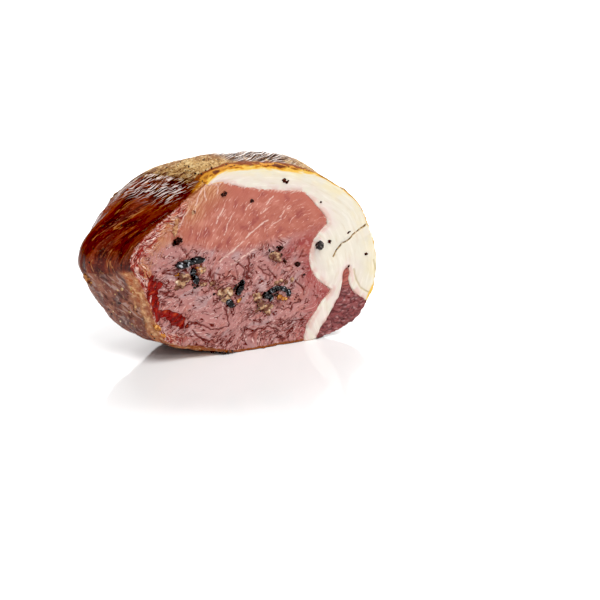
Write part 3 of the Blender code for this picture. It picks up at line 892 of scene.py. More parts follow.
def torn_flesh(tree, mask):
    frayed = wandering(tree, "edge_grain", 2.4, 1.1, 21.0)
    frays = drawn_out(tree, frayed, 2.6, 0.8)
    tatters = grain(tree, "edge_grain", 4.0, 3.0, 22.0, 3.0)
    return coats(tree, "#B8624E", [
        ("#C4887A", (tatters, 0.50, 0.60)),
        ("#962A20", (tatters, 0.49, 0.42)),
        ("#D6A090", (frays, 0.53, 0.61)),
        ("#8E1C14", (frays, 0.47, 0.41)),
        ("#86100A", mask["valley"]),
        ("#C08058", mask["gristle"], (frays, 0.36, 0.50)),
        ("#54100A", wrinkle_lines(tree, frayed, 3.0, 1.1, 0.035, 5.0), 0.9),
        ("#E2B8AC", mask["ridge"], (frays, 0.40, 0.50)),
        # Painted glint: thin near-white lines over the shreds stand for small highlights
        ("#F0D2C8", wrinkle_lines(tree, frayed, 3.4, 1.2, 0.024, 9.0), (tatters, 0.48, 0.56)),
    ])


def whole_cut(tree, mask, seen):
    """The cut: dry flesh, wet flesh and the torn edge, with the marks that lie over them."""
    wine = multiplied(tree, mask["wine"], (seen.mottle, 0.34, 0.54))
    flesh = grain(tree, "cut_grain", 2.4, 0.9, 15.0, 3.0)
    pool = grain(tree, "wet_grain", 3.2, 2.2, 16.0, 2.0)
    reds = [(0.36, linear("#640602")), (0.54, linear("#8E0E06")), (0.74, linear("#B84420"))]
    fringe = multiplied(tree, flesh, 1.4)
    fringed = add(tree, "Math", {0: mask["fringe"], 1: fringe}, operation="ADD").outputs[0]
    browned = add(tree, "Math", {0: mask["low_rim"], 1: seen.crumbs}, operation="ADD").outputs[0]
    gilded = add(tree, "Math", {0: mask["gilt"], 1: flesh}, operation="ADD").outputs[0]
    return coats(tree, dry_flesh(tree, mask, seen), [
        (wet_flesh(tree, mask, seen), mask["wet"]),
        ("#B2765E", mask["gristle"], (seen.bundles, 0.44, 0.58)),
        ("#96403E", wine),
        ("#C08480", wine, (seen.crumbs, 0.52, 0.62)),
        (torn_flesh(tree, mask), mask["edge"]),
        ("#5E0E08", (mask["blood"], 0.38, 0.46)),
        (add(tree, "ValToRGB", {0: pool}, reds).outputs[0], (mask["blood"], 0.46, 0.58)),
        # Painted shade: the floors of the carved cracks, folds and pulled wrinkles are painted dark
        ("#641A14", mask["fissure"], 0.95),
        ("#E0BCAF", mask["marble"], (seen.crumbs, 0.36, 0.50)),
        ("#D8B4A6", (fringed, 1.25, 1.75)),
        ("#8A4A24", (browned, 0.9, 1.15)),
        ("#D09A58", (gilded, 1.00, 1.40)),
    ])


print("masks of the lean:", len(LEAN_MASKS.split()))

# %% [markdown]
# Material of the lean, outside
#
# The bark is a film of dried juice and smoke tar over the muscle. It is thin and glossy, so the
# fibres under it show as threads of light and dark, with gold where fat has run. Smoke settles in
# patches of a few millimetres. Near the fat its ripples mirror the sky as white streaks: those are
# painted into the colour as painted highlights, 0.5 mm wide, coarser than on real meat, so that they
# show. Lower down the skin is thinner and drier, a grey-brown with orange stains near the cut. Its
# grooves are painted paler on their ridges and darker in their troughs: partly its own colour, and
# partly painted highlight and painted shade. Where the log ends it is plain and dark.

# %% Smoked skin
SHEEN_MM = (5.5, 0.5)

# Water has 1.33 and dry protein about 1.5. Moist meat lies between them, nearer to water
MOIST_IOR = 1.37


def sheen_on(tree):
    """The streaks of the crest, the same on the lean and on the fat, so that they cross the seam. Their
    near-white coats are painted highlights.
    """
    return drawn_out(tree, wandering(tree, "sheen_grain", 6.0, 1.7, 4.0), *SHEEN_MM)


def seam_streaks(tree, near, streaks):
    """Streaks that thin out away from a seam, to blend two skins into each other."""
    raised = add(tree, "Math", {0: multiplied(tree, near, 0.16), 1: streaks}, operation="ADD").outputs[0]
    return multiplied(tree, (near, 0.0, 0.3), (raised, 0.61, 0.66))


def smoked_bark(tree, mask, seen):
    sheen = sheen_on(tree)
    gaps = grain(tree, "skin_grain", 9.0, 3.0, 18.0)
    strands = wrinkle_lines(tree, wandering(tree, "skin_grain", 9.0, 1.6, 8.0), 15.0, 2.6, 0.022, 3.0, 2.0)
    pits = grain(tree, "skin_grain", 0.9, 0.7, 25.0, 2.0)
    gilded = add(tree, "Math", {0: mask["gilt"], 1: seen.fine}, operation="ADD").outputs[0]
    return coats(tree, "#581407", [
        ("#7A2A0E", (seen.patches, 0.50, 0.60)),
        ("#340803", (seen.patches, 0.46, 0.36)),
        ("#6E2C16", mask["near_cut"], (seen.patches, 0.44, 0.62)),
        ("#8E4E32", (pits, 0.56, 0.66), 0.45),
        ("#240402", (pits, 0.42, 0.32), 0.6),
        ("#A03C0C", mask["far"], 0.7),
        ("#2A0300", (seen.threads, 0.46, 0.36), 0.7),
        ("#8A4418", mask["far_in"], (seen.threads, 0.62, 0.70)),
        ("#B8804C", (seen.fine, 0.64, 0.69), mask["streak"]),
        ("#A8683A", strands, (gaps, 0.52, 0.60), mask["far_in"]),
        ("#B08A58", seam_streaks(tree, mask["by_fat_out"], sheen)),
        ("#7A4C3A", mask["by_fat_out"], (seen.patches, 0.44, 0.56)),
        ("#240806", (sheen, 0.46, 0.40), mask["crest"]),
        # Painted highlight: the near-white crest streaks are the sky mirrored in the ripples, painted into
        # the colour
        ("#DCCCC6", (sheen, 0.53, 0.58), mask["crest"]),
        ("#A8661E", (gilded, 1.05, 1.30)),
        ("#E0AC58", (gilded, 1.40, 1.55)),
    ])


def grey_skin(tree, mask, seen):
    stains = grain(tree, "place_grain", 2.8, 2.8, 29.0, 3.0)
    patchy = add(tree, "Math", {0: mask["near_cut"], 1: seen.patches}, operation="ADD").outputs[0]
    near_cut = multiplied(tree, (patchy, 1.00, 1.34))
    return coats(tree, "#7A4438", [
        ("#945C48", (seen.patches, 0.48, 0.60)),
        ("#70504A", (seen.patches, 0.45, 0.36)),
        # Partly the skin's own colour, partly painted highlight and painted shade: paler on the grooves'
        # ridges, darker in their troughs
        ("#B4948A", (seen.grooves, 0.55, 0.64), 0.75),
        ("#44201A", (seen.grooves, 0.45, 0.37), 0.8),
        ("#B88C68", (seen.freckles, 0.60, 0.68), 0.5),
        ("#3A1C16", (seen.freckles, 0.40, 0.33), 0.5),
        ("#C07C50", near_cut, 0.85),
        ("#A0502E", near_cut, (stains, 0.53, 0.60)),
        ("#DCAA7A", near_cut, (stains, 0.46, 0.38)),
    ])


def log_end(tree, seen):
    clots = grain(tree, "place_grain", 7.0, 7.0, 27.0, 4.0)
    return coats(tree, "#561808", [
        ("#74301A", (clots, 0.50, 0.62)),
        ("#380C04", (clots, 0.46, 0.34)),
        ("#8A4C30", (seen.freckles, 0.56, 0.66), 0.6),
        ("#280804", (seen.freckles, 0.42, 0.34), 0.6),
    ])


def lean_gloss(tree, mask, seen):
    """Roughness: dull dry flesh, glossier wet flesh and blood, and glossy tar outside."""
    wetness = {"Value": seen.clouds, "From Min": 0.35, "From Max": 0.65, "To Min": 0.12, "To Max": 0.34}
    wet_gloss = add(tree, "MapRange", wetness).outputs[0]
    gloss_in = add(tree, "Mix", {0: mask["wet"], 2: 0.44, 3: wet_gloss}).outputs[0]
    bloody = multiplied(tree, (mask["blood"], 0.42, 0.60))
    gloss_in = add(tree, "Mix", {0: bloody, 2: gloss_in, 3: 0.10}).outputs[0]
    gloss_out = add(tree, "MapRange", {"Value": seen.fine, "To Min": 0.08, "To Max": 0.24}).outputs[0]
    return add(tree, "Mix", {0: mask["inside"], 2: gloss_out, 3: gloss_in}).outputs[0]


def lean_height(tree, mask, seen):
    """Fine bumps: crumbs and nicks on wet flesh, bundles on dry, threads and grooves outside."""
    crumbs = multiplied(tree, seen.crumbs, 0.35)
    nicks = multiplied(tree, seen.lines.dark, 0.45)
    wet = add(tree, "Math", {0: crumbs, 1: nicks}, operation="SUBTRACT").outputs[0]
    dry = multiplied(tree, seen.bundles, 0.4)
    height_in = add(tree, "Mix", {0: mask["wet"], 2: dry, 3: wet}).outputs[0]
    threads = multiplied(tree, seen.threads, 0.30)
    fine = multiplied(tree, seen.fine, 0.14)
    ridges = multiplied(tree, mask["grey"], seen.grooves, 0.8)
    height_out = add(tree, "Math", {0: threads, 1: fine}, operation="ADD").outputs[0]
    height_out = add(tree, "Math", {0: height_out, 1: ridges}, operation="ADD").outputs[0]
    return add(tree, "Mix", {0: mask["inside"], 2: height_out, 3: height_in}).outputs[0]


def cured_smoked_lean():
    made, tree, shader = new_material("cured_smoked_lean")
    mask = masks_of(tree, LEAN_MASKS)
    seen = lean_patterns(tree, mask)
    plain = log_end(tree, seen)
    colour = coats(tree, plain, [
        (grey_skin(tree, mask, seen), mask["grey"]),
        (smoked_bark(tree, mask, seen), mask["bark"]),
        (plain, mask["end"]),
        (whole_cut(tree, mask, seen), mask["inside"]),
    ])
    finish_surface(tree, shader, colour, lean_gloss(tree, mask, seen), lean_height(tree, mask, seen), 0.6)
    shader.inputs["IOR"].default_value = MOIST_IOR
    print(made.name, "has", len(tree.nodes), "nodes")
    return made


lean.data.materials.append(cured_smoked_lean())
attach(lean, "root")
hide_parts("lean")

# %% [markdown]
# Fat cap
#
# Back fat is firm and waxy. On the cut it is almost flat, with faint soft layers that follow the
# outside, one crease where it split and two folds. The outside is leathery: low bumps, and ripples
# along the top where it dried. The same ripples cross from the lean.

# %% Build the fat
FAT_CREASE = [(55.5, 52.2), (52.0, 50.2), (48.0, 47.6), (43.4, 44.8), (40.8, 42.2), (39.2, 39.2)]
FAT_FOLDS = [
    [(49.7, 31.5), (50.6, 27.0), (53.1, 22.1), (56.8, 19.6)], [(59.4, 35.0), (60.6, 28.0), (59.8, 22.0)],
]
BUMP_ANGLE = 33.0

# Between these angles the stained rim is at its widest
GOLD_TOP = (46.0, 128.0)


def stained_rim(at, ragged):
    """How far smoke has stained the rim: on the cut, and along the outside."""
    top = arch(at.angle, (GOLD_TOP[0], GOLD_TOP[0] + 20.0), (GOLD_TOP[1] - 4.0, GOLD_TOP[1]))
    low = 1.0 - step_up(-22.0, -10.0, at.angle)
    gold = 1.0 - np.clip(at.rim / (1.3 + 1.7 * top + 1.2 * low + 0.5 * ragged), 0.0, 1.0)
    gold_out = 1.0 - np.clip(at.length / (2.0 + 3.6 * top + 2.0 * ragged), 0.0, 1.0)
    return gold, gold_out


def fat_piece():
    piece, at = new_piece("fat_cap", "back_fat")
    x, z, angle, length, arc = at.x, at.z, at.angle, at.length, at.arc
    radius = np.hypot(x, z - CORE_HEIGHT)
    rim = rim_tree("fat_cap", lambda angle, radius: angle > -25.0 and radius > 45.0)
    at.rim = rim_distance(rim, at.points)
    layers = stretched(arc, at.rim + 0.25 * radius, 12.0, 2.6, 61)
    wiggle = 0.35 * stretched(x, z, 3.0, 3.0, 68)
    crease = near_line(x + wiggle, z - wiggle, FAT_CREASE, 0.55)
    fold = np.maximum(*[near_line(x + wiggle, z - wiggle, line, 0.6) for line in FAT_FOLDS])
    swells = stretched(x, z, 12.0, 12.0, 62)
    relief = 0.05 * layers + 0.3 * swells - 0.55 * crease - 0.3 * fold + 0.05 * stretched(x, z, 2.0, 2.0, 63)
    carve_cut(at, relief * step_up(0.0, 1.0, at.seam + 0.3))

    ragged = 1.1 * stretched(arc, length, 5.0, 5.0, 67)
    tu, tv = at.points @ STREAK_WAY, at.points @ STREAK_ACROSS
    streaky = arch(angle, (50.0, 70.0), (90.0, 101.0)) * step_up(3.0, 5.5, length + ragged)
    streaky *= 1.0 - 0.7 * step_up(16.0, 34.0, length)
    crinkle = stretched(tu, tv, 9.0, 1.4, 56)
    dents = hills(at.points / 4.0, 69)
    relief = (0.04 + 0.28 * streaky) * crinkle + 0.22 * dents + 0.4 * stretched(arc, length, 11.0, 11.0, 66)
    relief += 0.9 * np.exp(-((angle - BUMP_ANGLE) / 3.0) ** 2) * (1.0 - step_up(10.0, 30.0, length))
    raise_skin(piece, at, shared_by_seam(relief, at))
    gold, gold_out = stained_rim(at, ragged)
    store(piece, {
        "inside": at.inside, "gold": gold, "gold_out": gold_out, "fold": fold, "crease": crease,
        "by_lean": 1.0 - step_up(0.5, 8.0, at.seam), "by_rim": 1.0 - step_up(1.0, 9.0, at.rim),
        "fringe": 1.0 - step_up(0.3, 2.4, at.seam), "streaky": streaky,
        "by_lean_out": 1.0 - step_up(0.0, 6.0, at.seam),
        "rim_line": (1.0 - step_up(0.2, 0.7, at.rim)) * arch(angle, (-25.0, -20.0), (60.0, 80.0)),
    }, {"layer_grain": (arc, at.rim), "sheen_grain": (tu, tv), "place_grain": at.points.T})
    return piece


fat = fat_piece()

# %% [markdown]
# Material of the fat
#
# On the cut the fat is cream, and pinker where it touches meat. It is wax-like: light goes a
# millimetre or so into it, so a little subsurface scattering softens its shadows. Smoke has gilded
# its outer millimetres, deepest at the very rim. The stain is one ramp, eaten into by noise that
# is long round the rim, so that gold, amber and brown follow one another as in toast. Outside, the
# same smoke has tanned it. Pores, blotches and specks of spice are drawn at their own sizes, in
# directions fixed in space, because this skin has no fibres.

# %% Cream and gold
FAT_MASKS = "inside gold gold_out fold crease by_lean by_rim fringe streaky by_lean_out rim_line"

# Fat alone has 1.46, but on meat it wears a film of moisture
WAX_IOR = 1.38


def cut_fat(tree, mask, stain, amber):
    soft = grain(tree, "layer_grain", 9.0, 1.6, 1.0, 2.0)
    cloud = grain(tree, "layer_grain", 7.0, 5.0, 2.0, 3.0)
    specks = grain(tree, "layer_grain", 1.2, 1.2, 3.0, 1.0)
    return soft, coats(tree, "#E2DACA", [
        ("#E6D9B4", mask["by_rim"], (cloud, 0.35, 0.65)),
        ("#E2D2CB", mask["by_lean"], (cloud, 0.3, 0.6)),
        ("#EFE8DC", (soft, 0.52, 0.70), 0.5),
        ("#D8C9B2", (soft, 0.46, 0.30), 0.5),
        ("#D8AFA2", mask["fringe"], (cloud, 0.42, 0.58)),
        ("#E8CE8E", (stain, 0.20, 0.40)),
        ("#E8BC54", (stain, 0.34, 0.50)),
        ("#D08A2A", (stain, 0.60, 0.78)),
        ("#8E4A16", (stain, 0.80, 0.98)),
        ("#4E2410", (stain, 1.05, 1.15)),
        ("#6A4A1C", mask["rim_line"], (amber, 0.40, 0.50)),
        ("#C4B084", mask["fold"], 0.7),
        ("#A07A38", mask["crease"], (specks, 0.30, 0.45)),
        ("#4A2E14", mask["crease"], (specks, 0.56, 0.62)),
    ])


def tanned_fat(tree, mask, stain):
    patches = grain(tree, "place_grain", 8.0, 8.0, 4.0, 4.0)
    blotches = grain(tree, "place_grain", 2.8, 2.8, 8.0, 3.0)
    pores = grain(tree, "place_grain", 1.1, 1.1, 9.0, 2.0)
    dots = grain(tree, "place_grain", 0.9, 0.9, 6.0, 1.0)
    sheen = sheen_on(tree)
    furrows = add(tree, "Math", {0: 1.0, 1: sheen}, operation="SUBTRACT").outputs[0]
    streaky = multiplied(tree, mask["streaky"], (patches, 0.34, 0.50))
    return blotches, coats(tree, "#B8905A", [
        ("#966A40", (patches, 0.50, 0.64)),
        ("#CCA870", (patches, 0.45, 0.34)),
        ("#7A4E28", (blotches, 0.55, 0.66), 0.7),
        ("#D8BC8C", (blotches, 0.46, 0.34), 0.7),
        ("#7A5028", (pores, 0.56, 0.64), 0.7),
        ("#DEC898", (pores, 0.42, 0.34), 0.7),
        ("#5A2A16", seam_streaks(tree, mask["by_lean_out"], furrows)),
        ("#7E3A04", (stain, 0.10, 0.30)),
        ("#CC8A2A", (stain, 0.50, 0.72)),
        ("#6E3410", (stain, 0.86, 0.96)),
        ("#7E5A46", streaky, 0.85),
        ("#2E140C", streaky, (sheen, 0.52, 0.48)),
        # Painted highlight: the near-white streaks along the top are the mirrored sky, painted into the
        # colour
        ("#DCD2CC", streaky, (sheen, 0.56, 0.60)),
        ("#2E1C12", (dots, 0.67, 0.72)),
    ])


def waxy_smoked_fat():
    made, tree, shader = new_material("waxy_smoked_fat")
    mask = masks_of(tree, FAT_MASKS)
    amber = grain(tree, "layer_grain", 5.0, 1.5, 7.0, 4.0)
    centred = add(tree, "Math", {0: amber, 1: 0.5}, operation="SUBTRACT").outputs[0]
    eaten = add(tree, "Math", {0: 1.0, 1: multiplied(tree, centred, 2.8)}, operation="ADD").outputs[0]
    soft, inside = cut_fat(tree, mask, multiplied(tree, mask["gold"], eaten), amber)
    blotches, outside = tanned_fat(tree, mask, multiplied(tree, mask["gold_out"], eaten))
    colour = coats(tree, outside, [(inside, mask["inside"])])
    gloss_out = add(tree, "Mix", {0: mask["streaky"], 2: 0.7, 3: 0.18}).outputs[0]
    gloss_out = add(tree, "Mix", {0: mask["gold_out"], 2: gloss_out, 3: 0.6}).outputs[0]
    roughness = add(tree, "Mix", {0: mask["inside"], 2: gloss_out, 3: 0.34}).outputs[0]
    layers = multiplied(tree, soft, 0.2)
    height = add(tree, "Mix", {0: mask["inside"], 2: blotches, 3: layers}).outputs[0]
    finish_surface(tree, shader, colour, roughness, height, 0.4)
    shader.inputs["IOR"].default_value = WAX_IOR
    shader.inputs["Subsurface Weight"].default_value = 0.12
    shader.inputs["Subsurface Radius"].default_value = (1.0, 0.7, 0.5)
    shader.inputs["Subsurface Scale"].default_value = 1.5 * MM
    print(made.name, "has", len(tree.nodes), "nodes")
    return made


fat.data.materials.append(waxy_smoked_fat())
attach(fat, "root")
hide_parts("fat_cap")

# %% [markdown]
# Side muscle
#
# A thin dark muscle lies under the fat low on the right. It has dried more than the lean, and it is
# deep maroon and wrinkled, with a pink tip where it rises into the fat. Its wrinkles are round
# puffs with creases between them, so two plain noises do.

# %% Build the side muscle
TIP = (46.4, 31.5)


def side_muscle():
    piece, at = new_piece("flap_muscle", "side_muscle")
    x, z = at.x, at.z
    folds = cracks(stretched(x, z, 3.0, 2.0, 72), 0.2)
    carve_cut(at, 0.5 * stretched(x, z, 3.4, 2.2, 71) - 0.4 * folds)
    raise_skin(piece, at, shared_by_seam(0.4 * stretched(at.arc, at.length, 6.0, 9.0, 73), at))
    tip = 1.0 - step_up(4.0, 10.0, np.hypot(x - TIP[0], z - TIP[1]))
    store(piece, {"inside": at.inside, "folds": folds, "tip": tip},
          {"cut_grain": (x, z), "skin_grain": (at.arc, at.length)})
    return piece


flap = side_muscle()

# %% [markdown]
# Material of the side muscle
#
# Dried muscle is denser than moist, so its IOR is a little higher and its colour deeper. Crumbs of
# 3 mm stand for its short fibres: their tops are painted paler, a painted highlight, and the hollows
# between them darker, painted shade.

# %% Maroon
DRIED_IOR = 1.42


def dried_side_muscle():
    made, tree, shader = new_material("dried_side_muscle")
    mask = masks_of(tree, "inside folds tip")
    crumbs = grain(tree, "cut_grain", 3.4, 1.5, 1.0, 3.0)
    patches = grain(tree, "skin_grain", 7.0, 7.0, 2.0, 3.0)
    inside = coats(tree, "#844444", [
        # Painted highlight on the crumbs' tops and painted shade in the hollows between them
        ("#AC7876", (crumbs, 0.54, 0.66)),
        ("#5A2022", (crumbs, 0.44, 0.34)),
        ("#AC5C50", mask["tip"]),
        ("#44161A", mask["folds"], 0.8),
    ])
    colour = coats(tree, "#5E2412", [("#8A4A26", (patches, 0.4, 0.7)), (inside, mask["inside"])])
    roughness = add(tree, "MapRange", {"Value": crumbs, "To Min": 0.2, "To Max": 0.4}).outputs[0]
    finish_surface(tree, shader, colour, roughness, crumbs, 0.4)
    shader.inputs["IOR"].default_value = DRIED_IOR
    print(made.name, "has", len(tree.nodes), "nodes")
    return made


flap.data.materials.append(dried_side_muscle())
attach(flap, "root")
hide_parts("flap_muscle")

# %% [markdown]
# Spice in the cut
#
# The cure left spice in the meat: a long dark pod, leathery bits of juniper and pepper, and heaps of
# paler crumbs. Crushed spice has no clean shape, so each bit is a small ball with noise pushed into
# it, stretched and sunk halfway into the cut. The bits that the eye remembers are placed one by one.
# Heaps are strewn at random, from a fixed seed. Bits of one kind are one mesh, which keeps the
# number of objects low.

# %% Places of the spice
# Single bits: x, z, length, width and turn
POD = [(-35.2, 46.3, 6.0, 3.6, -6), (-31.6, 46.9, 7.0, 2.8, -6), (-27.9, 47.5, 7.0, 3.5, -6)]
DARK = [
    (-29.8, 41.8, 3.6, 2.6, 80), (-28.6, 38.4, 4.2, 2.9, 100), (-6.5, 33.8, 3.0, 2.4, 60),
    (-7.7, 31.4, 4.4, 3.2, 40), (-8.6, 29.4, 2.8, 2.2, 0), (-12.6, 25.0, 4.8, 3.2, -50),
    (5.0, 26.3, 3.8, 3.4, 20), (7.8, 28.0, 3.8, 2.6, 25), (10.8, 28.6, 3.8, 2.4, -5),
    (13.8, 27.9, 3.6, 2.4, -35), (16.0, 25.6, 3.8, 2.4, 100), (7.4, 24.6, 3.2, 2.2, 70),
]
RIB = [(-37.4, 63.4, 7.6, 2.0, 78), (-36.9, 66.0, 3.4, 1.6, 60)]
SPECKS = [
    (-36.6, 57.6, 3.6, 2.8, 10), (-38.2, 56.2, 2.0, 1.6, 0), (-14.4, 75.7, 2.6, 1.8, 0),
    (-1.2, 70.9, 1.6, 1.4, 0), (20.6, 38.5, 2.4, 2.0, 0), (12.6, 47.2, 2.2, 1.6, 0),
    (-20.0, 30.4, 1.2, 1.0, 0), (24.0, 33.0, 1.2, 1.0, 0), (14.6, 40.6, 2.0, 1.2, -50),
]
FAT_SPECKS = [
    (36.6, 46.9, 1.7, 1.5, 0), (55.5, 38.3, 1.4, 1.2, 0),
    (32.5, 66.1, 0.9, 0.8, 0), (46.4, 50.0, 1.9, 0.8, 30),
    (14.2, 78.6, 1.9, 1.6, 0), (15.6, 77.7, 1.7, 1.3, 40), (46.8, 33.6, 1.2, 0.9, 60),
]

# Heaps of grains: x, z, half length, half width, turn, how many, smallest and largest grain
TAN_HEAPS = [
    (-34.2, 40.8, 2.0, 1.6, 62, 5, 2.8, 4.2), (-36.8, 37.0, 1.8, 1.6, 62, 4, 2.4, 3.8),
    (-26.0, 41.8, 2.2, 1.4, 60, 5, 2.0, 3.0), (-20.8, 34.6, 7.0, 1.2, -25, 8, 1.2, 2.4),
    (-15.2, 30.4, 2.4, 1.8, 20, 5, 3.0, 4.4), (-13.0, 27.4, 2.0, 1.2, 60, 3, 2.0, 3.0),
    (1.0, 25.6, 3.8, 1.4, -52, 7, 1.6, 2.8), (3.4, 20.6, 3.0, 2.2, -40, 7, 2.4, 3.8),
    (13.0, 31.0, 3.4, 0.7, 5, 7, 1.4, 2.6), (9.4, 44.0, 5.4, 1.7, -38, 8, 2.2, 4.2),
    (-28.6, 68.0, 0.8, 2.6, 0, 4, 1.2, 2.0),
]
ORANGE_HEAPS = [
    (-46.9, 18.6, 0.7, 1.8, 30, 6, 1.6, 2.8), (-44.6, 14.6, 0.6, 1.4, 40, 4, 1.0, 1.8),
    (11.8, 24.0, 2.6, 0.9, -5, 9, 1.3, 2.3), (-8.2, 25.6, 0.8, 0.8, 0, 3, 1.2, 1.8),
    (-26.0, 42.8, 1.4, 1.2, 0, 5, 0.8, 1.5), (-37.2, 41.4, 1.0, 1.0, 0, 4, 0.8, 1.3),
]
BLACK_HEAPS = [
    (-30.0, 40.0, 1.8, 3.4, 0, 9, 0.9, 1.8), (-8.0, 31.5, 2.4, 2.6, 0, 9, 0.8, 1.6),
    (8.0, 26.6, 4.6, 1.8, 0, 12, 0.8, 1.6), (10.6, 44.8, 5.0, 2.2, -38, 9, 0.5, 1.5),
    (-16.0, 1.6, 7.0, 0.2, 2, 12, 0.8, 1.8),
    (2.0, 20.6, 4.0, 3.2, 0, 12, 0.4, 0.9), (-36.0, 38.6, 3.0, 3.6, 0, 12, 0.4, 0.9),
    (-16.0, 29.6, 3.6, 3.0, 0, 12, 0.4, 0.9), (-21.0, 35.0, 7.0, 2.0, -25, 10, 0.4, 0.8),
    (-6.0, 26.0, 5.0, 4.0, 0, 8, 0.4, 0.8), (13.0, 22.0, 7.0, 3.0, 0, 8, 0.4, 0.8),
]
PEPPERCORN = [(31.2, 46.4, 4.0, 4.0, 0)]

print("heaps of spice:", len(TAN_HEAPS) + len(ORANGE_HEAPS) + len(BLACK_HEAPS))

# %% Set bits into the cut
# How deep a bit's middle sits behind the cut, as a share of its thickness
SINK = 0.15

cut_surface = {name: BVHTree.FromObject(piece, bpy.context.evaluated_depsgraph_get())
               for name, piece in (("lean", lean), ("fat_cap", fat), ("flap_muscle", flap))}


def cut_depth(x, z, on):
    """How far in or out the dressed cut is at a point of it, in mm from the cut plane."""
    start = Vector(((x + CUT_ZERO[0]) * MM, (CUT_ZERO[1] - 20.0) * MM, (z + CUT_ZERO[2]) * MM))
    hit = cut_surface[on].ray_cast(start, Vector((0.0, 1.0, 0.0)))[0]
    return hit.y / MM - CUT_ZERO[1] if hit else 0.0


def dressed(name, data, on):
    """A smooth piece of that mesh, attached to the root body, with the solid that it lies on hidden."""
    for polygon in data.polygons:
        polygon.use_smooth = True
    piece = bpy.data.objects.new(name, data)
    bpy.context.scene.collection.objects.link(piece)
    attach(piece, "root")
    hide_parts(on)
    return piece


def heaped(heaps, seed):
    """Single grains strewn over each heap, densest in its middle."""
    pick = np.random.default_rng(seed)
    grains = []
    for x, z, half_long, half_wide, turn, count, small, large in heaps:
        for _ in range(count):
            across, up = pick.normal(0.0, 0.55, 2)
            across, up = turned(across * half_long, up * half_wide, -radians(turn))
            size = pick.uniform(small, large)
            grains.append((x + across, z + up, size, size * pick.uniform(0.6, 0.9), pick.uniform(0.0, 180.0)))
    return grains


def bits(name, places, on, flat, rough, seed, divisions=4):
    """One mesh of uneven lumps: each place is x, z, length, width and turn, and flat is their thickness."""
    mesh = bmesh.new()
    for i, (x, z, length, width, turn) in enumerate(places):
        ball = bmesh.ops.create_icosphere(mesh, subdivisions=divisions, radius=0.5)["verts"]
        shift = Vector((seed + i * 3.1, i * 1.7, seed * 0.7))
        for vert in ball:
            lumps = noise.noise(vert.co * 3.2 + shift) + 0.5 * noise.noise(vert.co * 7.0 + shift)
            vert.co *= 1.0 + rough * lumps
        thick = flat * width
        place = Matrix.Translation((x, cut_depth(x, z, on) - SINK * thick, z))
        shape = place @ Matrix.Rotation(-radians(turn), 4, "Y") @ Matrix.Diagonal((length, thick, width, 1.0))
        bmesh.ops.transform(mesh, verts=ball, matrix=shape)
    for vert in mesh.verts:
        vert.co = (vert.co + Vector(CUT_ZERO)) * MM
    data = bpy.data.meshes.new(name)
    mesh.to_mesh(data)
    mesh.free()
    return dressed(name, data, on)


print("a bit's middle sits", SINK, "of its thickness behind the cut")

# %% Set grains on the skin
def skin_place(angle, length, on):
    """The point of the skin at that angle and distance along the log, and the way it faces."""
    out = np.array([cos(radians(angle)), 0.0, sin(radians(angle))])
    middle = np.array([0.0, 0.0, CORE_HEIGHT]) + LOG_WAY * length + CUT_ZERO
    start = Vector((middle + out * 2.0 * MEAN_RADIUS) * MM)
    place, facing, _, _ = cut_surface[on].ray_cast(start, Vector(-out))
    return place, facing


def skin_bits(name, angles, lengths, count, small, large, on, seed):
    """Grains stuck to the outside, strewn between two angles and two distances along the log."""
    pick = np.random.default_rng(seed)
    mesh = bmesh.new()
    for _ in range(count):
        place, facing = skin_place(pick.uniform(*angles), pick.uniform(*lengths), on)
        size = pick.uniform(small, large) * MM
        turn = facing.to_track_quat("Z", "Y").to_matrix().to_4x4()
        turn = turn @ Matrix.Rotation(pick.uniform(0.0, 3.1), 4, "Z")
        shape = Matrix.Translation(place) @ turn @ Matrix.Diagonal((size, 0.7 * size, 0.35 * size, 1.0))
        bmesh.ops.create_icosphere(mesh, subdivisions=2, radius=0.5, matrix=shape)
    data = bpy.data.meshes.new(name)
    mesh.to_mesh(data)
    mesh.free()
    return dressed(name, data, on)


print("grains on the skin are strewn by angle and by distance along the log")

# %% [markdown]
# Material of the spice
#
# Dried berries and pods shrink as they dry, and their skin wrinkles. It is deepest in the hollows,
# paler on the hills and has a painted glint, a painted highlight, on the very tops, so three colours
# follow one noise, and the same noise lifts the bump. Black bits are oily and mirror small lights.
# Ground bits are dull. The noise is 0.7 to 2.4 mm wide, by the kind of spice, so that its wrinkles show.

# %% Spice and its colours
def spice(name, deep, pale, painted_glint, size_mm, roughness, bump_mm=0.3, ior=1.45):
    """Dried spice: a wrinkled skin, deep in its hollows, pale on its hills and with a painted glint, a
    painted highlight, on their tops.
    """
    made, tree, shader = new_material(name)
    where = add(tree, "TexCoord").outputs["Object"]
    sockets = {"Vector": where, "Scale": 1.0 / (size_mm * MM), "Detail": 3.0}
    wrinkles = add(tree, "TexNoise", sockets).outputs["Fac"]
    # The third colour is a painted glint: a painted highlight on the tops of the wrinkles
    colour = coats(tree, deep, [(pale, (wrinkles, 0.42, 0.58)), (painted_glint, (wrinkles, 0.60, 0.66))])
    levels = {"Value": wrinkles, "To Min": roughness, "To Max": roughness + 0.1}
    finish_surface(tree, shader, colour, add(tree, "MapRange", levels).outputs[0], wrinkles, bump_mm)
    shader.inputs["IOR"].default_value = ior
    return made


def seasoned(piece, *look):
    """Gives a piece its spice and prints its size."""
    piece.data.materials.append(spice(*look))
    print(piece.name, "has", len(piece.data.polygons), "triangles")


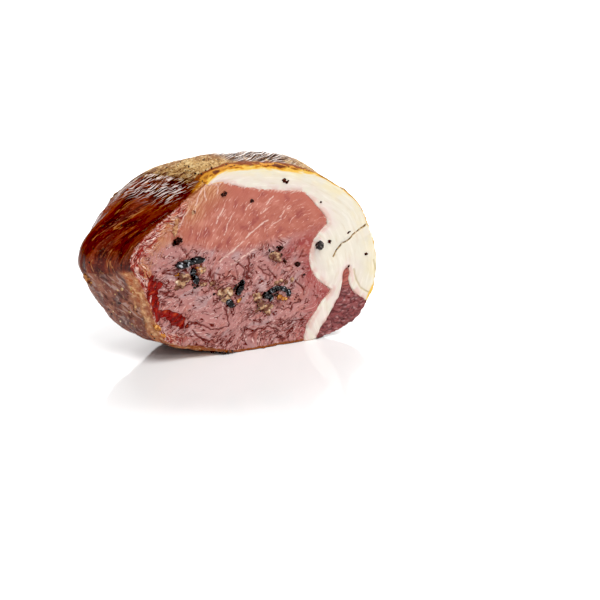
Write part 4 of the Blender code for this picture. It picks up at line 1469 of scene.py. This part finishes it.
seasoned(bits("spice_pod", POD, "lean", 0.9, 0.22, 4.0),
         "long_pepper", "#020203", "#1C1D20", "#B4B6BC", 2.0, 0.08, 0.15, 1.42)
seasoned(bits("dark_spice", DARK, "lean", 0.9, 0.4, 2.0),
         "dried_juniper", "#020203", "#121316", "#A4A8B0", 1.2, 0.06, 0.25, 1.42)
seasoned(bits("black_crumbs", heaped(BLACK_HEAPS, 3), "lean", 0.7, 0.6, 3.0, 2),
         "cracked_pepper", "#100604", "#2E1810", "#6A4A3C", 0.8, 0.12, 0.2)
seasoned(bits("tan_spice", heaped(TAN_HEAPS, 5), "lean", 0.45, 0.55, 5.0, 3),
         "cracked_coriander", "#6A3A2A", "#BE9470", "#E8D0B4", 2.4, 0.2)
seasoned(bits("tan_rib", RIB, "lean", 0.6, 0.5, 7.0),
         "dried_gristle", "#8E5232", "#C48E64", "#E4BE96", 1.4, 0.3)
seasoned(bits("orange_spice", heaped(ORANGE_HEAPS, 9), "lean", 0.7, 0.5, 9.0, 3),
         "toasted_seed", "#8A4A16", "#C88038", "#E8B060", 1.2, 0.2)
seasoned(bits("lean_specks", SPECKS, "lean", 0.6, 0.8, 13.0, 3),
         "ground_pepper", "#120503", "#321410", "#6A3A2A", 0.9, 0.4, 0.3, 1.3)
seasoned(bits("fat_specks", FAT_SPECKS, "fat_cap", 0.5, 0.8, 17.0, 3),
         "ground_pepper_in_fat", "#1A0603", "#4A1608", "#8A3A18", 0.9, 0.4, 0.3, 1.3)

# %% Grains on the skin, and a half peppercorn in the fat
seasoned(skin_bits("skin_pepper", (150.0, 215.0), (3.0, 30.0), 26, 0.6, 1.3, "lean", 31),
         "pepper_on_skin", "#0E0504", "#24120C", "#5A3A2A", 0.7, 0.4, 0.3, 1.3)
seasoned(skin_bits("skin_seeds", (178.0, 205.0), (4.0, 20.0), 12, 0.8, 1.9, "lean", 36),
         "garlic_on_skin", "#A87838", "#DCBC84", "#F4E4C4", 1.2, 0.2)
seasoned(skin_bits("knot", (175.5, 181.0), (22.5, 26.5), 9, 2.0, 4.0, "lean", 37),
         "smoked_scrap", "#5E2A0C", "#B87430", "#E0A850", 1.6, 0.2)
seasoned(skin_bits("fat_pepper", (98.0, 118.0), (1.0, 22.0), 22, 0.6, 1.3, "fat_cap", 35),
         "pepper_on_fat", "#1A0A04", "#3E1E0C", "#7A4A24", 0.7, 0.4, 0.3, 1.3)
seasoned(bits("peppercorn", PEPPERCORN, "fat_cap", 0.8, 0.25, 21.0),
         "halved_peppercorn", "#0E0C0E", "#3A3230", "#8A7E7A", 1.0, 0.3)

# %% [markdown]
# Floor, light and camera
#
# The piece stands on a white glossy sheet under a white sky, which lights it softly from all sides.
# Glossy meat needs something to mirror, so the sky has a brighter round patch behind, like a lit
# wall, and two dark ones, like black flags, that give the bark its depth. A wide far lamp is the
# key light, and a narrow one puts sparks on wet spots. Two small lamps behind draw the bright
# streaks along the top. The camera looks down by 20 degrees from 25 degrees to the left, 0.8 m
# away, so that the perspective is gentle.

# %% Floor
FLOOR_HALF = 4.0
FLOOR_CORNERS = [(-1, -1), (1, -1), (1, 1), (-1, 1)]
floor_data = bpy.data.meshes.new("floor")
floor_data.from_pydata([(FLOOR_HALF * x, FLOOR_HALF * y, 0.0) for x, y in FLOOR_CORNERS], [], [(0, 1, 2, 3)])
floor = bpy.data.objects.new("floor", floor_data)
bpy.context.scene.collection.objects.link(floor)
white, _, white_shader = new_material("white_acrylic_sheet")
white_shader.inputs["Base Color"].default_value = linear("#F6F6F6")
white_shader.inputs["IOR"].default_value = 1.4
white_shader.inputs["Roughness"].default_value = 0.08
floor.data.materials.append(white)
print("the sheet is", 2.0 * FLOOR_HALF, "m wide")

# %% Sky
# Directions in the room. The flags also have the angles in degrees where they are full and gone
WALL_WAY = (0.41, 0.88, 0.24)
FLAGS = [((-0.60, 0.42, 0.68), 43.0, 56.0), ((-0.42, 0.88, 0.22), 22.0, 32.0)]
SKY_STRENGTH = 0.65
WALL_STRENGTH = 2.6
FLAG_SHARE = 0.98

world = bpy.data.worlds.new("studio")
world.use_nodes = True
sky = world.node_tree
way = add(sky, "TexCoord").outputs["Generated"]


def round_sky(centre, inner, outer):
    """1 within an inner angle in degrees of that direction, 0 beyond the outer one."""
    near = add(sky, "VectorMath", {0: way, 1: Vector(centre).normalized()}, operation="DOT_PRODUCT")
    return multiplied(sky, (near.outputs["Value"], cos(radians(outer)), cos(radians(inner))))


wall = multiplied(sky, round_sky(WALL_WAY, 13.0, 20.0), WALL_STRENGTH)
lit = add(sky, "Math", {0: wall, 1: SKY_STRENGTH}, operation="ADD").outputs[0]
flags = dict(enumerate(round_sky(*flag) for flag in FLAGS))
dark = multiplied(sky, add(sky, "Math", flags, operation="MAXIMUM").outputs[0], FLAG_SHARE)
left_open = add(sky, "Math", {0: 1.0, 1: dark}, operation="SUBTRACT").outputs[0]
background = sky.nodes["Background"]
background.inputs["Color"].default_value = (1.0, 1.0, 1.0, 1.0)
sky.links.new(multiplied(sky, lit, left_open), background.inputs["Strength"])
bpy.context.scene.world = world
print("the sky has", len(FLAGS), "dark flags and one bright wall")

# %% Lamps
SUN_WAY = (0.10, -0.45, 0.89)
SPARK_WAY = (0.05, -0.80, 0.60)
LAMP_AIM = (0.0, 0.0, 0.06)


def far_lamp(name, toward, strength, angle):
    """Parallel light from that direction, from a disc as wide as the angle."""
    light = bpy.data.lights.new(name, "SUN")
    light.energy = strength
    light.angle = radians(angle)
    made = bpy.data.objects.new(name, light)
    made.rotation_euler = Vector(toward).to_track_quat("Z", "Y").to_euler()
    bpy.context.scene.collection.objects.link(made)


far_lamp("soft_key", SUN_WAY, 2.05, 32.0)
far_lamp("spark", SPARK_WAY, 0.32, 4.0)


def near_lamp(name, place, size, watts):
    """A rectangular lamp in the room, aimed at the piece."""
    light = bpy.data.lights.new(name, "AREA")
    light.shape = "RECTANGLE"
    light.size, light.size_y = size
    light.energy = watts
    made = bpy.data.objects.new(name, light)
    made.location = place
    made.rotation_euler = (Vector(LAMP_AIM) - Vector(place)).to_track_quat("-Z", "Y").to_euler()
    bpy.context.scene.collection.objects.link(made)


near_lamp("crest_strip", (-0.13, 0.90, 0.98), (0.45, 0.30), 5.0)
near_lamp("top_strip", (0.40, 0.62, 1.00), (0.50, 0.22), 3.5)

# %% Camera
# The black level deepens the darks a little, as a developed photograph has them
BLACK_LEVEL = 0.015
EYE = Vector((-288.01, -707.61, 294.20)) * MM
AIM = Vector((29.69, -26.29, 20.58)) * MM
camera_data = bpy.data.cameras.new("camera")
camera_data.lens = 105.6
camera_data.sensor_width = 36.0
camera = bpy.data.objects.new("camera", camera_data)
camera.location = EYE
camera.rotation_euler = (AIM - EYE).to_track_quat("-Z", "Y").to_euler()
bpy.context.scene.collection.objects.link(camera)
bpy.context.scene.camera = camera
view = bpy.context.scene.view_settings
view.view_transform = "Standard"
view.use_curve_mapping = True
view.curve_mapping.black_level = (BLACK_LEVEL, BLACK_LEVEL, BLACK_LEVEL)
view.curve_mapping.update()
print("camera", round((EYE - AIM).length, 2), "m from what it looks at, lens", camera_data.lens, "mm")
